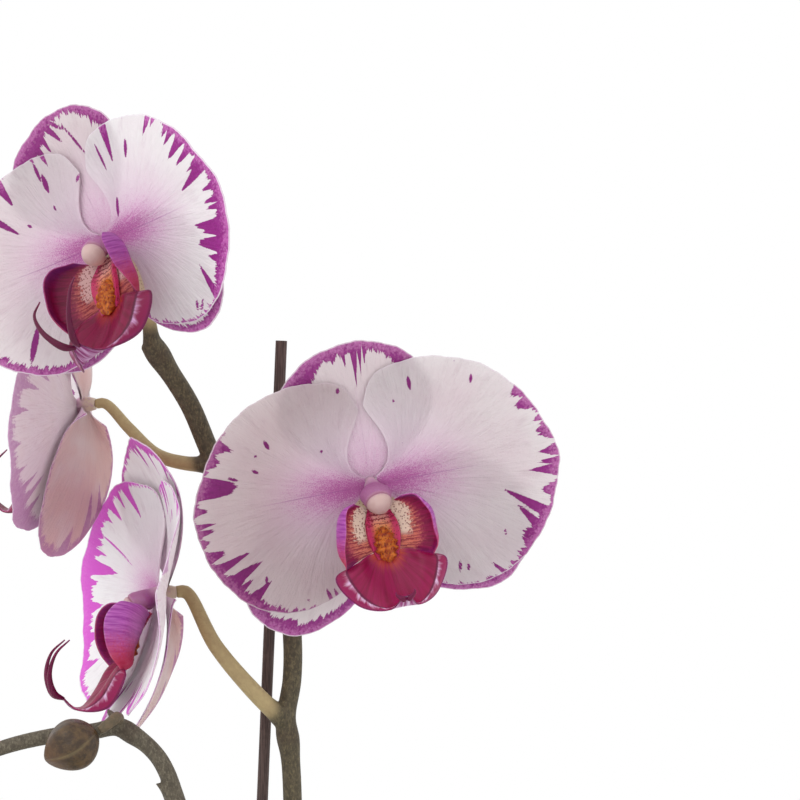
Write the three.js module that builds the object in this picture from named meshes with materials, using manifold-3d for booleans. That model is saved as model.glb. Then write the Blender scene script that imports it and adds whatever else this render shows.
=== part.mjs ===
// Potted moth orchid: a spike of four open blooms tied to a stake, a younger
// spike in bud, strap leaves and aerial roots, in a plain pot of bark.
// Millimetres, +Z up. The origin is the middle of the pot's base, and the
// blooms face the side of -Y.
import * as THREE from 'three';
import { mergeVertices } from 'three/addons/utils/BufferGeometryUtils.js';
import Module from 'manifold-3d';

const wasm = await Module();
wasm.setup();

// Clearance that neighbouring pieces keep
const gap = 0.3;

// Pot
const potHeight = 120;
const potTopRadius = 62;
const potBaseRadius = 45;
const potWall = 2.2;
const potFloor = 3;
const potRimHeight = 14;
const potRimLip = 3.2;
const footRadius = 33;
const footLift = 2;
const drainCount = 6;
const drainRadius = 4;
const drainRing = 38;

// Bark
const barkTop = 106;
const chipCount = 34;
const chipSeed = 7;

// Crown, roots and leaves
const crownRadius = 8;
const crownBottom = 92;
const crownTop = 137;
const leafThickness = 2;

// Stake
const stakeRadius = 1.75;
const stakeFoot = new THREE.Vector3(-14.6, 15, 16);
const stakeTop = new THREE.Vector3(6, -0.4, 501);

// Flower spikes
const spikeRadius = 2.85;
const pedicelRadius = 1.7;
const sideSpikeRadius = 2.95;

// Clip
const clipHeight = 424;
const clipWall = 1.2;
const clipBand = 4;

// Blooms
const bladeThickness = 0.7;
const hubBack = 5.2;
const petalSeat = 2.9;
const sepalSeat = 2.6;
const twistEdge = 20;

const rad = THREE.MathUtils.degToRad;
const v3 = (x, y, z) => new THREE.Vector3(x, y, z);

// Repeatable numbers from 0 to 1
function randomFrom(seed) {
  let state = seed;
  return () => {
    state = (state * 16807) % 2147483647;
    return state / 2147483647;
  };
}

// Value at x on a smooth curve through points with rising x
function smoothAt(points, x) {
  const last = points.length - 1;
  const at = THREE.MathUtils.clamp(x, points[0][0], points[last][0]);
  let i = 0;
  while (i < last - 1 && at > points[i + 1][0]) i += 1;
  const slope = (k) => {
    const a = points[Math.max(k - 1, 0)];
    const b = points[Math.min(k + 1, last)];
    return (b[1] - a[1]) / (b[0] - a[0]);
  };
  const [x0, y0] = points[i];
  const [x1, y1] = points[i + 1];
  const h = x1 - x0;
  const t = (at - x0) / h;
  const t2 = t * t;
  const t3 = t2 * t;
  return (2 * t3 - 3 * t2 + 1) * y0 + (t3 - 2 * t2 + t) * h * slope(i)
    + (3 * t2 - 2 * t3) * y1 + (t3 - t2) * h * slope(i + 1);
}

// Only the positions, with shared corners merged and faces pointing out
function closed(geometry) {
  const bare = geometry.clone();
  bare.deleteAttribute('normal');
  bare.deleteAttribute('uv');
  const merged = mergeVertices(bare, 1e-4);
  const p = merged.attributes.position;
  const index = Array.from(merged.index.array);
  const kept = [];
  for (let i = 0; i < index.length; i += 3) {
    const [a, b, c] = index.slice(i, i + 3);
    if (a !== b && b !== c && c !== a) kept.push(a, b, c);
  }
  let volume = 0;
  const corner = [v3(), v3(), v3()];
  for (let i = 0; i < kept.length; i += 3) {
    corner.forEach((c, k) => c.fromBufferAttribute(p, kept[i + k]));
    volume += corner[0].dot(corner[1].clone().cross(corner[2]));
  }
  if (volume < 0) {
    for (let i = 0; i < kept.length; i += 3) [kept[i], kept[i + 1]] = [kept[i + 1], kept[i]];
  }
  merged.setIndex(kept);
  return merged;
}

function toSolid(geometry) {
  const g = closed(geometry);
  return new wasm.Manifold(new wasm.Mesh({
    numProp: 3,
    vertProperties: new Float32Array(g.attributes.position.array),
    triVerts: new Uint32Array(g.index.array),
  }));
}

function fromSolid(solid) {
  const mesh = solid.getMesh();
  const g = new THREE.BufferGeometry();
  g.setAttribute('position', new THREE.BufferAttribute(mesh.vertProperties, 3));
  g.setIndex(Array.from(mesh.triVerts));
  return g;
}

// The main body of a solid, with the hollows that joining sealed filled
const whole = (solid) => solid.decompose().sort((a, b) => b.volume() - a.volume())[0];

// One solid of several overlapping ones
const joined = (geometries) => whole(geometries.map(toSolid).reduce((a, b) => a.add(b)));

// Closed blade of even thickness round a grid of points; both faces split alike
function blade(grid, thickness) {
  const nu = grid.length - 1;
  const nv = grid[0].length - 1;
  const positions = [];
  for (const side of [0.5, -0.5]) {
    for (let i = 0; i <= nu; i += 1) {
      for (let j = 0; j <= nv; j += 1) {
        const du = grid[Math.min(i + 1, nu)][j].clone().sub(grid[Math.max(i - 1, 0)][j]);
        const dv = grid[i][Math.min(j + 1, nv)].clone().sub(grid[i][Math.max(j - 1, 0)]);
        const normal = du.cross(dv).normalize();
        positions.push(...grid[i][j].clone().addScaledVector(normal, side * thickness).toArray());
      }
    }
  }
  const across = nv + 1;
  const half = (nu + 1) * across;
  const index = [];
  const quad = (a, b, c, d) => index.push(a, b, c, a, c, d);
  for (let i = 0; i < nu; i += 1) {
    for (let j = 0; j < nv; j += 1) {
      const a = i * across + j;
      index.push(a, a + across, a + across + 1, a, a + across + 1, a + 1);
      index.push(half + a, half + a + across + 1, half + a + across);
      index.push(half + a, half + a + 1, half + a + across + 1);
    }
    const left = i * across;
    const right = left + nv;
    quad(left, half + left, half + left + across, left + across);
    quad(right, right + across, half + right + across, half + right);
  }
  for (let j = 0; j < nv; j += 1) {
    const far = nu * across + j;
    quad(j, j + 1, half + j + 1, half + j);
    quad(far, half + far, half + far + 1, far + 1);
  }
  const g = new THREE.BufferGeometry();
  g.setAttribute('position', new THREE.Float32BufferAttribute(positions, 3));
  g.setIndex(index);
  return closed(g);
}

// Grid of points on a smooth surface through a few stations of points
function net(stations, nu, nv) {
  const columns = stations.map((s) => new THREE.CatmullRomCurve3(s.map((p) => v3(...p))));
  const grid = [];
  for (let i = 0; i <= nu; i += 1) {
    const row = new THREE.CatmullRomCurve3(columns.map((c) => c.getPoint(i / nu)));
    grid.push(Array.from({ length: nv + 1 }, (_, j) => row.getPoint(j / nv)));
  }
  return grid;
}

// Turned body bent along a curve: stations are [share of the length, radius]
function stalk(points, stations, sides) {
  const curve = new THREE.CatmullRomCurve3(points.map((p) => v3(...p)), false, 'centripetal');
  const profile = stations.map(([t, r]) => new THREE.Vector2(r, t));
  const steps = 120;
  const frames = curve.computeFrenetFrames(steps);
  const g = new THREE.LatheGeometry(profile, sides);
  const p = g.attributes.position;
  for (let i = 0; i < p.count; i += 1) {
    const t = p.getY(i);
    const k = Math.round(t * steps);
    const at = curve.getPointAt(t)
      .addScaledVector(frames.normals[k], p.getX(i))
      .addScaledVector(frames.binormals[k], p.getZ(i));
    p.setXYZ(i, at.x, at.y, at.z);
  }
  return closed(g);
}

// Stations of a stalk of nearly even radius, blunt at both ends
function evenly(count, radiusAt) {
  const stations = [[0, 0], [0, radiusAt(0)]];
  for (let i = 1; i < count; i += 1) stations.push([i / count, radiusAt(i / count)]);
  stations.push([1, radiusAt(1)], [1, 0]);
  return stations;
}

const taper = (a, b) => (t) => a + (b - a) * t;

// Outer skin of the pot's wall and the radius inside it at a height
const potRadiusAt = (z) => potBaseRadius + (potTopRadius - potBaseRadius) * (z / potHeight);
const potInsideAt = (z) => potRadiusAt(z) - potWall;

function potGeometry() {
  const brim = potHeight - potRimHeight;
  const profile = [
    [0, 0],
    [footRadius, 0],
    [footRadius + 1.5, footLift],
    [potBaseRadius - 2, footLift],
    [potBaseRadius, footLift + 2],
    [potRadiusAt(brim), brim],
    [potRadiusAt(brim) + potRimLip, brim + 1.5],
    [potRadiusAt(potHeight) + potRimLip, potHeight - 2],
    [potRadiusAt(potHeight) + potRimLip - 1.5, potHeight],
    [potInsideAt(potHeight) + 1, potHeight],
    [potInsideAt(potHeight), potHeight - 1.5],
    [potInsideAt(footLift + potFloor), footLift + potFloor],
    [0, footLift + potFloor],
  ].map(([r, z]) => new THREE.Vector2(r, z));
  const wall = new THREE.LatheGeometry(profile, 32).rotateX(Math.PI / 2);
  let pot = toSolid(wall);
  for (let i = 0; i < drainCount; i += 1) {
    const angle = (i / drainCount) * 2 * Math.PI;
    const hole = new THREE.CylinderGeometry(drainRadius, drainRadius, 4 * potFloor, 8)
      .rotateX(Math.PI / 2)
      .translate(drainRing * Math.cos(angle), drainRing * Math.sin(angle), potFloor);
    pot = pot.subtract(toSolid(hole));
  }
  return fromSolid(pot);
}

// Aerial roots: each leaves the crown, arches and dips into the bark or over the rim
const roots = [
  { points: [[3, 5, 110], [12, 22, 121], [18, 38, 116], [21, 45, 98]], radius: 2.6 },
  { points: [[-1, 6, 113], [-8, 26, 124], [-15, 41, 117], [-20, 46, 97]], radius: 2.4 },
  { points: [[-5, -3, 106], [-19, -20, 116], [-28, -30, 111], [-33, -33, 96]], radius: 2.7 },
  { points: [[5, -2, 106], [22, -18, 116], [31, -33, 112], [34, -38, 96]], radius: 2.5 },
  { points: [[1, 8, 113], [2, 34, 131], [0, 62, 131], [-4, 76, 116], [-6, 79, 98]], radius: 2.3 },
];

// Radius of the crown at a share of its height
const crownWidth = (t) => crownRadius * Math.sqrt(1 - 0.4 * Math.abs(t - 0.35));

function crownParts(extra) {
  const stem = evenly(5, (t) => extra + crownWidth(t));
  const parts = [stalk([[0, 0, crownBottom - extra], [0, 0, 115], [0, 0, crownTop + extra]], stem, 10)];
  for (const { points, radius } of roots) {
    const thick = (t) => extra + radius * (1 - 0.35 * t ** 3);
    parts.push(stalk(points, evenly(7, thick), 6));
  }
  return joined(parts);
}

const stakeLine = (extra) => stalk(
  [stakeFoot.toArray(), stakeFoot.clone().lerp(stakeTop, 0.5).toArray(), stakeTop.toArray()],
  [[0, 0], [0, stakeRadius + extra], [1, stakeRadius + extra], [1, 0]],
  12,
);

function barkGeometry() {
  const random = randomFrom(chipSeed);
  const low = footLift + potFloor + gap;
  const fill = new THREE.LatheGeometry([
    new THREE.Vector2(0, low),
    new THREE.Vector2(potInsideAt(low) - gap, low),
    new THREE.Vector2(potInsideAt(barkTop) - gap, barkTop),
    new THREE.Vector2(0, barkTop),
  ], 32).rotateX(Math.PI / 2);
  const parts = [fill];
  const goldenAngle = Math.PI * (3 - Math.sqrt(5));
  for (let i = 0; i < chipCount; i += 1) {
    const reach = 49 * Math.sqrt((i + 0.6) / chipCount);
    const angle = i * goldenAngle;
    const size = [10 + 8 * random(), 7 + 5 * random(), 4 + 3 * random()];
    const chip = new THREE.BoxGeometry(...size)
      .rotateX(0.9 * (random() - 0.5))
      .rotateY(0.9 * (random() - 0.5))
      .rotateZ(2 * Math.PI * random())
      .translate(reach * Math.cos(angle), reach * Math.sin(angle), barkTop + 1.6 * random());
    parts.push(chip);
  }
  return fromSolid(whole(joined(parts).subtract(crownParts(gap)).subtract(toSolid(stakeLine(gap)))));
}

// Leaves in two ranks: heading, where the base sits, length, width, rise and droop
const leaves = [
  { heading: 22, base: 117, length: 168, width: 66, rise: 28, droop: 76 },
  { heading: 196, base: 120, length: 182, width: 70, rise: 31, droop: 80 },
  { heading: 14, base: 123.5, length: 186, width: 72, rise: 42, droop: 60 },
  { heading: 189, base: 127, length: 176, width: 68, rise: 47, droop: 50 },
  { heading: 25, base: 130.5, length: 150, width: 60, rise: 58, droop: 28 },
  { heading: 199, base: 134, length: 118, width: 46, rise: 66, droop: 14 },
];
const leafWidths = [[0, 0.24], [0.12, 0.42], [0.35, 0.85], [0.6, 1], [0.82, 0.8], [0.94, 0.45], [1, 0.12]];

function leafGeometry({ heading, base, length, width, rise, droop }) {
  const nu = 10;
  const nv = 4;
  const grid = [];
  const seat = crownWidth((base - crownBottom) / (crownTop - crownBottom));
  let along = seat + gap + (leafThickness / 2) * Math.sin(rad(rise));
  let height = base;
  for (let i = 0; i <= nu; i += 1) {
    const t = i / nu;
    const angle = rad(rise - (rise + droop) * t ** 1.2);
    const row = [];
    const half = (width / 2) * smoothAt(leafWidths, t);
    for (let j = 0; j <= nv; j += 1) {
      const s = (2 * j) / nv - 1;
      const lift = 0.34 * Math.abs(s) ** 1.3 * half * (1 - 0.55 * t);
      const x = along - lift * Math.sin(angle);
      const z = height + lift * Math.cos(angle);
      row.push(v3(x, s * half, z).applyAxisAngle(v3(0, 0, 1), rad(heading)));
    }
    grid.push(row);
    along += (Math.cos(angle) * length) / nu;
    height += (Math.sin(angle) * length) / nu;
  }
  return blade(grid, leafThickness);
}

// Centre lines of the spikes and of the stalks that carry the blooms
const spikeLine = [
  [5.4, -9.5, 117], [6.4, -9.7, 150], [8.6, -6.6, 220], [9.5, -3.4, 300], [9.5, -3, 360],
  [8.7, -3, 375], [7.5, -3, 385], [9.3, -3, 397], [9.5, -3, 409], [8.1, -3.5, 423],
  [5, -4, 434], [0.2, -4, 443], [-6.6, -3, 452.2], [-14.4, -1, 463.8], [-22, -2, 481.3],
  [-29.4, -6, 493.5], [-33.8, -9, 500.5],
];
const sideSpikeLine = [
  [-1.2, -10.9, 117], [-1.6, -14.6, 146], [-9, -25, 230], [-20, -34, 310], [-24.4, -38, 363],
  [-28.1, -40, 374.2], [-32, -40, 379.3], [-37, -40, 383.1], [-41.5, -40, 385.5],
  [-48.4, -40, 384.3], [-61.4, -40, 382.8], [-76.6, -40, 379.1], [-95, -39, 371],
  [-112, -37.5, 360], [-121, -36.5, 351],
];
// Stalks that carry the blooms, from the spike to behind each column
const pedicels = {
  bloom_1: [[-33, -8.6, 499], [-34.2, -11, 508], [-35.2, -18, 519], [-37.4, -28, 527]],
  bloom_2: [[-16, -1, 463], [-24, 3.2, 463.4], [-33, 10.6, 466], [-42, 19, 474]],
  bloom_3: [[6.6, -4, 385.6], [0.6, -8, 391], [-13.6, -9.5, 407.6]],
  bloom_4: [[1, -5, 441.6], [9, -8.6, 451], [19.4, -14, 458.6]],
};

// Papery bract that clasps a stem: a short pointed blade bent round it
function bract(at, along, side, radius, length) {
  const axis = v3(...along).normalize();
  const out = v3(...side).addScaledVector(axis, -axis.dot(v3(...side))).normalize();
  const cross = axis.clone().cross(out);
  const stations = [[0, 75, -0.1], [0.4, 60, -0.1], [0.75, 36, 0.7], [1, 8, 1.9]];
  const grid = stations.map(([t, spread, stand]) => {
    const row = [];
    for (let j = 0; j <= 3; j += 1) {
      const angle = rad(spread) * ((2 * j) / 3 - 1);
      const reach = radius + stand;
      row.push(v3(...at).addScaledVector(axis, t * length)
        .addScaledVector(out, reach * Math.cos(angle))
        .addScaledVector(cross, reach * Math.sin(angle)));
    }
    return row;
  });
  return blade(grid, 0.9);
}

function spikeGeometry() {
  const thick = (t) => spikeRadius * (1 + 0.1 * t ** 3);
  const parts = [stalk(spikeLine, evenly(26, thick), 8)];
  for (const bloom of blooms) {
    const line = [...pedicels[bloom.name], behind(bloom, hubBack + 3), behind(bloom, hubBack + gap)];
    parts.push(stalk(line, evenly(8, (t) => bloom.stout * pedicelRadius * (1.4 - 0.45 * t)), 6));
  }
  parts.push(bract([6.6, -9.9, 150], [0.02, 0.02, 1], [1, -1, 0], spikeRadius, 13));
  parts.push(bract([8.5, -6.7, 218], [0.02, 0.04, 1], [-1, -0.4, 0], spikeRadius, 12));
  parts.push(bract([9.5, -3.6, 292], [0, 0.02, 1], [-1, -0.5, 0], spikeRadius, 11));
  parts.push(bract([8.2, -3, 379.5], [-0.1, 0, 1], [-1, -0.4, 0], spikeRadius, 7));
  parts.push(bract([-12, -1.7, 460.2], [-0.6, 0.1, 0.8], [-0.4, 0.2, -1], spikeRadius, 6));
  parts.push(bract([-31.4, -7.6, 496.6], [-0.5, -0.3, 0.8], [0.8, 0, 0.4], spikeRadius * 0.82, 8));
  return fromSolid(joined(parts));
}

// Buds on the side spike: place of the base, heading and length
const buds = [
  { base: [-47, -50.4, 384.8], aim: [-0.88, 0.02, -0.47], length: 17.5 },
  { base: [-84.2, -31.8, 374.2], aim: [-0.75, 0.5, -0.42], length: 14 },
  { base: [-101, -45.4, 366.6], aim: [-0.8, -0.45, -0.4], length: 11 },
  { base: [-121.4, -36.4, 350.5], aim: [-0.68, 0.08, -0.73], length: 8.5 },
];
const budStalks = [
  [[-41.3, -41, 386.6], [-41.4, -46, 388.8], [-43.6, -49.6, 387.2], [-46.3, -50.4, 385.1]],
  [[-78.6, -39.4, 378.6], [-81, -36, 377.4], [-83.7, -32.2, 374.8]],
  [[-96.6, -39.4, 370], [-98.4, -43, 368.8], [-100.4, -45.1, 367]],
];

function sideSpikeGeometry() {
  const thick = (t) => sideSpikeRadius * (1 - 0.1 * t - 0.42 * t ** 6);
  const parts = [stalk(sideSpikeLine, evenly(24, thick), 8)];
  for (const line of budStalks) parts.push(stalk(line, evenly(4, taper(2, 1.5)), 6));
  parts.push(bract([-1.6, -14.4, 144], [-0.04, -0.06, 1], [-1, -0.6, 0], sideSpikeRadius, 14));
  parts.push(bract([-10.4, -23.2, 224], [-0.1, -0.12, 1], [1, -0.6, 0], sideSpikeRadius, 13));
  parts.push(bract([-19.6, -33.6, 306], [-0.08, -0.1, 1], [-1, 0, 0.2], sideSpikeRadius, 12));
  parts.push(bract([-24.3, -38, 360.6], [-0.12, -0.1, 1], [-1, -0.3, 0], sideSpikeRadius, 9));
  parts.push(bract([-38.6, -40, 384.2], [-0.8, 0, 0.3], [-0.2, -0.5, 1], sideSpikeRadius, 8));
  return fromSolid(joined(parts));
}

function budGeometry({ base, aim, length }) {
  const from = v3(...base);
  const way = v3(...aim).normalize();
  const at = (t) => from.clone().addScaledVector(way, t * length).toArray();
  const round = (t) => length * 0.43 * Math.sin(Math.PI * t ** 0.85) ** 0.62;
  const stations = [[0, 0]];
  for (let i = 1; i < 7; i += 1) stations.push([i / 7, round(i / 7)]);
  stations.push([1, 0]);
  return stalk([at(0), at(0.5), at(1)], stations, 10);
}

// Band round the spike and the stake, cut across where it holds them
function clipGeometry() {
  const share = (clipHeight - stakeFoot.z) / (stakeTop.z - stakeFoot.z);
  const stake = stakeFoot.clone().lerp(stakeTop, share);
  const spike = v3(8, -3.5, clipHeight);
  const outline = (extra, points) => {
    const near = stakeRadius + 0.4 + extra;
    const far = spikeRadius + 1 + extra;
    const apart = Math.hypot(spike.x - stake.x, spike.y - stake.y);
    const turn = Math.asin((far - near) / apart);
    points.absarc(0, 0, near, Math.PI / 2 + turn, 1.5 * Math.PI - turn, false);
    points.absarc(apart, 0, far, -Math.PI / 2 - turn, Math.PI / 2 + turn, false);
    return points;
  };
  const band = outline(clipWall, new THREE.Shape());
  band.holes.push(outline(0, new THREE.Path()));
  return closed(new THREE.ExtrudeGeometry(band, { depth: clipBand, bevelEnabled: false, curveSegments: 6 })
    .rotateZ(Math.atan2(spike.y - stake.y, spike.x - stake.x))
    .translate(stake.x, stake.y, clipHeight - clipBand / 2));
}

// Outlines of the flat parts of a bloom: degrees from the midrib, reach from the base
const petalReach = [
  [-77, 30.4], [-63, 38.4], [-48, 45.8], [-29, 50.6], [-10, 52.3], [0, 52.8],
  [14.5, 50.2], [34, 46.5], [53, 41.6], [72, 36.1], [87, 31.1], [95, 23.8],
];
const dorsalReach = [
  [-65, 7.6], [-56, 24], [-43, 33.6], [-28.5, 38.4], [-11.5, 40.9], [0, 41.3],
  [11.5, 41], [28.5, 39.6], [43, 36], [56, 27], [65, 8.6],
];
const lateralReach = [
  [-63, 7.6], [-55, 19], [-42.5, 29.3], [-28.5, 39.6], [-14.5, 47.3], [0, 51.2],
  [14.5, 50.3], [29, 42], [43, 31.3], [56, 21], [63, 7.6],
];

// Flat parts in a bloom's own frame: x to its right, y to its top, z outward.
// side 1 turns the outline anticlockwise from the midrib and -1 clockwise, and
// narrow draws the outline's angles in towards the base.
const petalForm = {
  reach: petalReach, level: 0.7, seat: petalSeat, claw: 2.5, narrow: 0.62, fold: 0.9, nu: 5, nv: 11,
};
const sepalForm = { seat: sepalSeat, narrow: 0, nu: 4, nv: 7 };
const lateralForm = { ...sepalForm, reach: lateralReach, claw: 2.2, fold: 0.25 };
const flatParts = {
  petal_right: { ...petalForm, axis: 0, side: 1 },
  petal_left: { ...petalForm, axis: 180, side: -1 },
  dorsal_sepal: { ...sepalForm, reach: dorsalReach, axis: 91, side: 1, level: -0.7, claw: 2.8, fold: 0.3 },
  lateral_sepal_right: { ...lateralForm, axis: -38, side: -1, level: -2 },
  lateral_sepal_left: { ...lateralForm, axis: 218, side: 1, level: -3.3 },
};

// Blooms: place of the column's foot, turn to the viewer's right, tip down and
// anticlockwise roll in degrees, how the flat parts bend (per metre) and bulge
// backwards, the size of the lip and the curl of its tips, and what differs in
// size, axis, level or twist on single parts. Stout is how thick its stalk is.
const blooms = [
  {
    name: 'bloom_1',
    stout: 1,
    at: [-44.8, -40, 530.4], yaw: -38, pitch: 8, roll: 26,
    bend: { right: 3, left: 14, up: 1, down: 1, rightBack: 0, bulge: 0 }, lip: 1.12, curl: 1,
    size: {
      petal_right: 0.93, petal_left: 0.92, dorsal_sepal: 0.965,
      lateral_sepal_right: 0.86, lateral_sepal_left: 0.8,
    },
    axis: {
      petal_right: -10, petal_left: 172, dorsal_sepal: 90.5,
      lateral_sepal_right: -46, lateral_sepal_left: 208,
    },
  },
  {
    name: 'bloom_2',
    stout: 1,
    at: [-58, 27, 481.2], yaw: -103, pitch: 4, roll: 2,
    bend: { right: 4.5, left: 14, up: 3, down: 15, rightBack: 0, bulge: 2 }, lip: 1, curl: 1,
    size: { petal_right: 0.92, lateral_sepal_right: 0.88, lateral_sepal_left: 0.8 },
    axis: { petal_right: -16, lateral_sepal_right: -72, lateral_sepal_left: 246 },
    level: { dorsal_sepal: -1.2, lateral_sepal_right: -2, lateral_sepal_left: -1.2 },
    twist: { lateral_sepal_right: 0.24 },
  },
  {
    name: 'bloom_3',
    stout: 1.2,
    at: [-31.4, -3, 423.6], yaw: -80, pitch: 3, roll: 3,
    bend: { right: 4, left: 11.6, up: 7, down: 24, rightBack: 8, bulge: 5.5 }, lip: 1.08, curl: 1,
    size: { dorsal_sepal: 1.1, lateral_sepal_right: 0.84, lateral_sepal_left: 0.76 },
    axis: { petal_right: -2, petal_left: 178, lateral_sepal_right: -64, lateral_sepal_left: 248 },
    level: { dorsal_sepal: -1.7, lateral_sepal_right: -1.7, lateral_sepal_left: -1 },
    twist: { lateral_sepal_right: 0.28 },
  },
  {
    name: 'bloom_4',
    stout: 1,
    at: [33.7, -32, 457.6], yaw: 14, pitch: 12, roll: 10.7,
    bend: { right: 1.5, left: 1.5, up: -1, down: -1, rightBack: 0, bulge: 0 }, lip: 1, curl: 0.15,
    size: { petal_right: 1.04, petal_left: 0.99, lateral_sepal_right: 1.01, lateral_sepal_left: 0.985 },
    axis: { lateral_sepal_right: -32, lateral_sepal_left: 222 },
  },
];

const faceTurn = ({ pitch, yaw, roll }) => new THREE.Euler(rad(pitch), rad(yaw), rad(roll), 'YXZ');

// Point on the axis of a bloom, behind its column's foot
function behind(bloom, distance) {
  const local = v3(0, 0, -distance).applyEuler(faceTurn(bloom)).applyAxisAngle(v3(1, 0, 0), Math.PI / 2);
  return local.add(v3(...bloom.at)).toArray();
}

// How far a bloom's face stands forward at a point: all its layers share it
function bendAt(bend, x, y) {
  const across = (x > 0 ? bend.right : bend.left) * x * x;
  const upright = (y > 0 ? bend.up : bend.down) * y * y;
  const back = x > 0 ? (bend.rightBack * 1.6 * x * x * y * y) / (x * x + y * y + 1) : 0;
  const rise = THREE.MathUtils.clamp(y / 50, 0, 1);
  const hump = Math.sin(Math.PI * rise) * THREE.MathUtils.smoothstep(x, -25, 0);
  return (across + upright - back) / 2000 - bend.bulge * hump;
}

function flatGeometry(name, bloom) {
  const part = flatParts[name];
  const scale = bloom.size[name] ?? 1;
  const axis = rad(bloom.axis[name] ?? part.axis);
  const level = bloom.level?.[name] ?? part.level;
  const twist = bloom.twist?.[name] ?? 0;
  const from = part.reach[0][0];
  const to = part.reach[part.reach.length - 1][0];
  const grid = [];
  for (let i = 0; i <= part.nu; i += 1) {
    const u = (i / part.nu) ** 0.85;
    const row = [];
    for (let j = 0; j <= part.nv; j += 1) {
      const s = (2 * j) / part.nv - 1;
      const angle = from + ((to - from) * (s + 1)) / 2;
      const reach = u * scale * smoothAt(part.reach, angle);
      const spread = rad(angle) * (1 - part.narrow * (1 - u) ** 1.6);
      const along = part.seat + reach * Math.cos(spread);
      const across = part.side * (reach * Math.sin(spread) + part.claw * s * (1 - u));
      const x = along * Math.cos(axis) - across * Math.sin(axis);
      const y = along * Math.sin(axis) + across * Math.cos(axis);
      const crease = part.fold * Math.exp(-((angle / 24) ** 2)) * Math.sin(Math.PI * u ** 0.7);
      const swing = twist * (twistEdge * scale * u - across);
      row.push(v3(x, y, level + bendAt(bloom.bend, x, y) - crease - swing));
    }
    grid.push(row);
  }
  return blade(grid, bladeThickness);
}

// Column: the hub that carries the flat parts, bent down over the lip, with its cap
function columnGeometry() {
  const line = [
    [0, 0, -hubBack], [0, 0, 0], [0, -1.1, 2.6], [0, -2.5, 5.6], [0, -4, 8.5], [0, -5.7, 11.2],
  ];
  const stations = [
    [0, 0], [0, 1.8], [0.1, 2.2], [0.28, 2.2], [0.36, 2.4], [0.45, 2.9],
    [0.62, 3.65], [0.8, 4.2], [0.9, 3.7], [0.97, 2.2], [1, 0],
  ];
  return stalk(line, stations, 10);
}

// Right half of the lip's middle lobe, from its throat to its rim and its bent corner
const midLobe = [
  [[0, -19.5, 9.5], [0, -24.5, 13.5], [0, -30, 20], [0, -31.4, 26], [0, -27.5, 30]],
  [[0.9, -19.5, 9.6], [3.2, -24, 14], [5.4, -28.8, 20.5], [5.6, -31.6, 23.8], [4.4, -31.8, 26]],
  [[1.8, -19.3, 9.7], [5.2, -22, 12.5], [9.2, -25.4, 18], [11.4, -29, 18.6], [12, -31.6, 17.6]],
  [[2.6, -19, 9.8], [6.2, -20.2, 11.2], [9.8, -20.8, 14.6], [13.4, -22.2, 15], [17, -23.2, 12.8]],
  [[3.2, -18.4, 9.8], [6, -18.6, 10.6], [8, -19, 12], [9.8, -19.6, 13], [11.4, -20.2, 12.8]],
];

// Right side lobe, from the lip's floor out to its rounded edge
const sideLobe = [
  [[2.8, -6.2, 3.6], [5.2, -4.8, 4.6], [6.9, -3.6, 6.2], [7.4, -2.8, 8.2]],
  [[3.6, -7.4, 4.8], [8.2, -5.6, 6.6], [11, -3.6, 9.6], [10.6, -2.4, 13.4]],
  [[4.2, -10, 6], [10.4, -8.4, 8.2], [14, -6.6, 12], [12.6, -5.8, 17]],
  [[4.4, -13, 7.4], [11, -12.8, 9.4], [15, -11.8, 13], [13.6, -11.4, 17.8]],
  [[4, -15.6, 8.6], [10.6, -16.6, 10.2], [14.8, -16.8, 13], [14.2, -16.8, 16.6]],
  [[3.2, -17.4, 9.3], [8.4, -18.8, 10.2], [12, -20, 11.8], [13.4, -20.6, 13.6]],
];

// Floor of the lip: distance down, outward, half width and how far its sides rise
const lipFloor = [
  [-5.8, 2.9, 2.6, 0.3], [-8.4, 4.6, 4, 1], [-11, 6.3, 4.8, 1.6],
  [-15, 8.1, 4.9, 1.5], [-20.6, 10.6, 3.2, 0.5],
];

// Fleshy bump at the lip's throat
const callusLine = [[0, -11.6, 7], [0, -15.4, 9.2], [0, -18.6, 11], [0, -21.4, 12.4]];
const callusStations = [[0, 0], [0.08, 1.5], [0.35, 3.1], [0.65, 3.2], [0.92, 1.7], [1, 0]];

// Right one of the two thin tips that the middle lobe ends in
const tendrilLine = [
  [0.7, -28.5, 29], [2.2, -27, 31.6], [5.2, -21.5, 33], [7.4, -15.5, 31], [7.2, -12, 27],
];

const mirrored = (stations) => stations.map((s) => s.map(([x, y, z]) => [-x, y, z]));

function lipGeometry({ lip, curl }) {
  const middle = [...mirrored(midLobe.slice(1)).reverse(), ...midLobe];
  const floor = lipFloor.map(([y, z, half, rise]) => [-1, -0.5, 0, 0.5, 1].map(
    (s) => [s * half, y + 0.35 * rise * s * s, z + rise * s * s],
  ));
  const parts = [
    blade(net(middle, 4, 10), bladeThickness),
    blade(net(sideLobe, 3, 6), bladeThickness),
    blade(net(mirrored(sideLobe), 3, 6), bladeThickness),
    blade(net(floor, 3, 4), 1.1),
    stalk(callusLine, callusStations, 6),
  ];
  for (const side of [-1, 1]) {
    const [, root, height] = tendrilLine[0];
    const reach = tendrilLine.map(([x, y, z]) => [
      side * x * Math.sqrt(curl), root + (y - root) * curl, height + (z - height) * curl,
    ]);
    parts.push(stalk(reach, evenly(5, taper(1, 0.4)), 4));
  }
  const solid = joined(parts);
  const foot = [0, -5.8, 2.9];
  return fromSolid(solid.translate(foot.map((c) => -c)).scale(lip).translate(foot));
}

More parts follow.
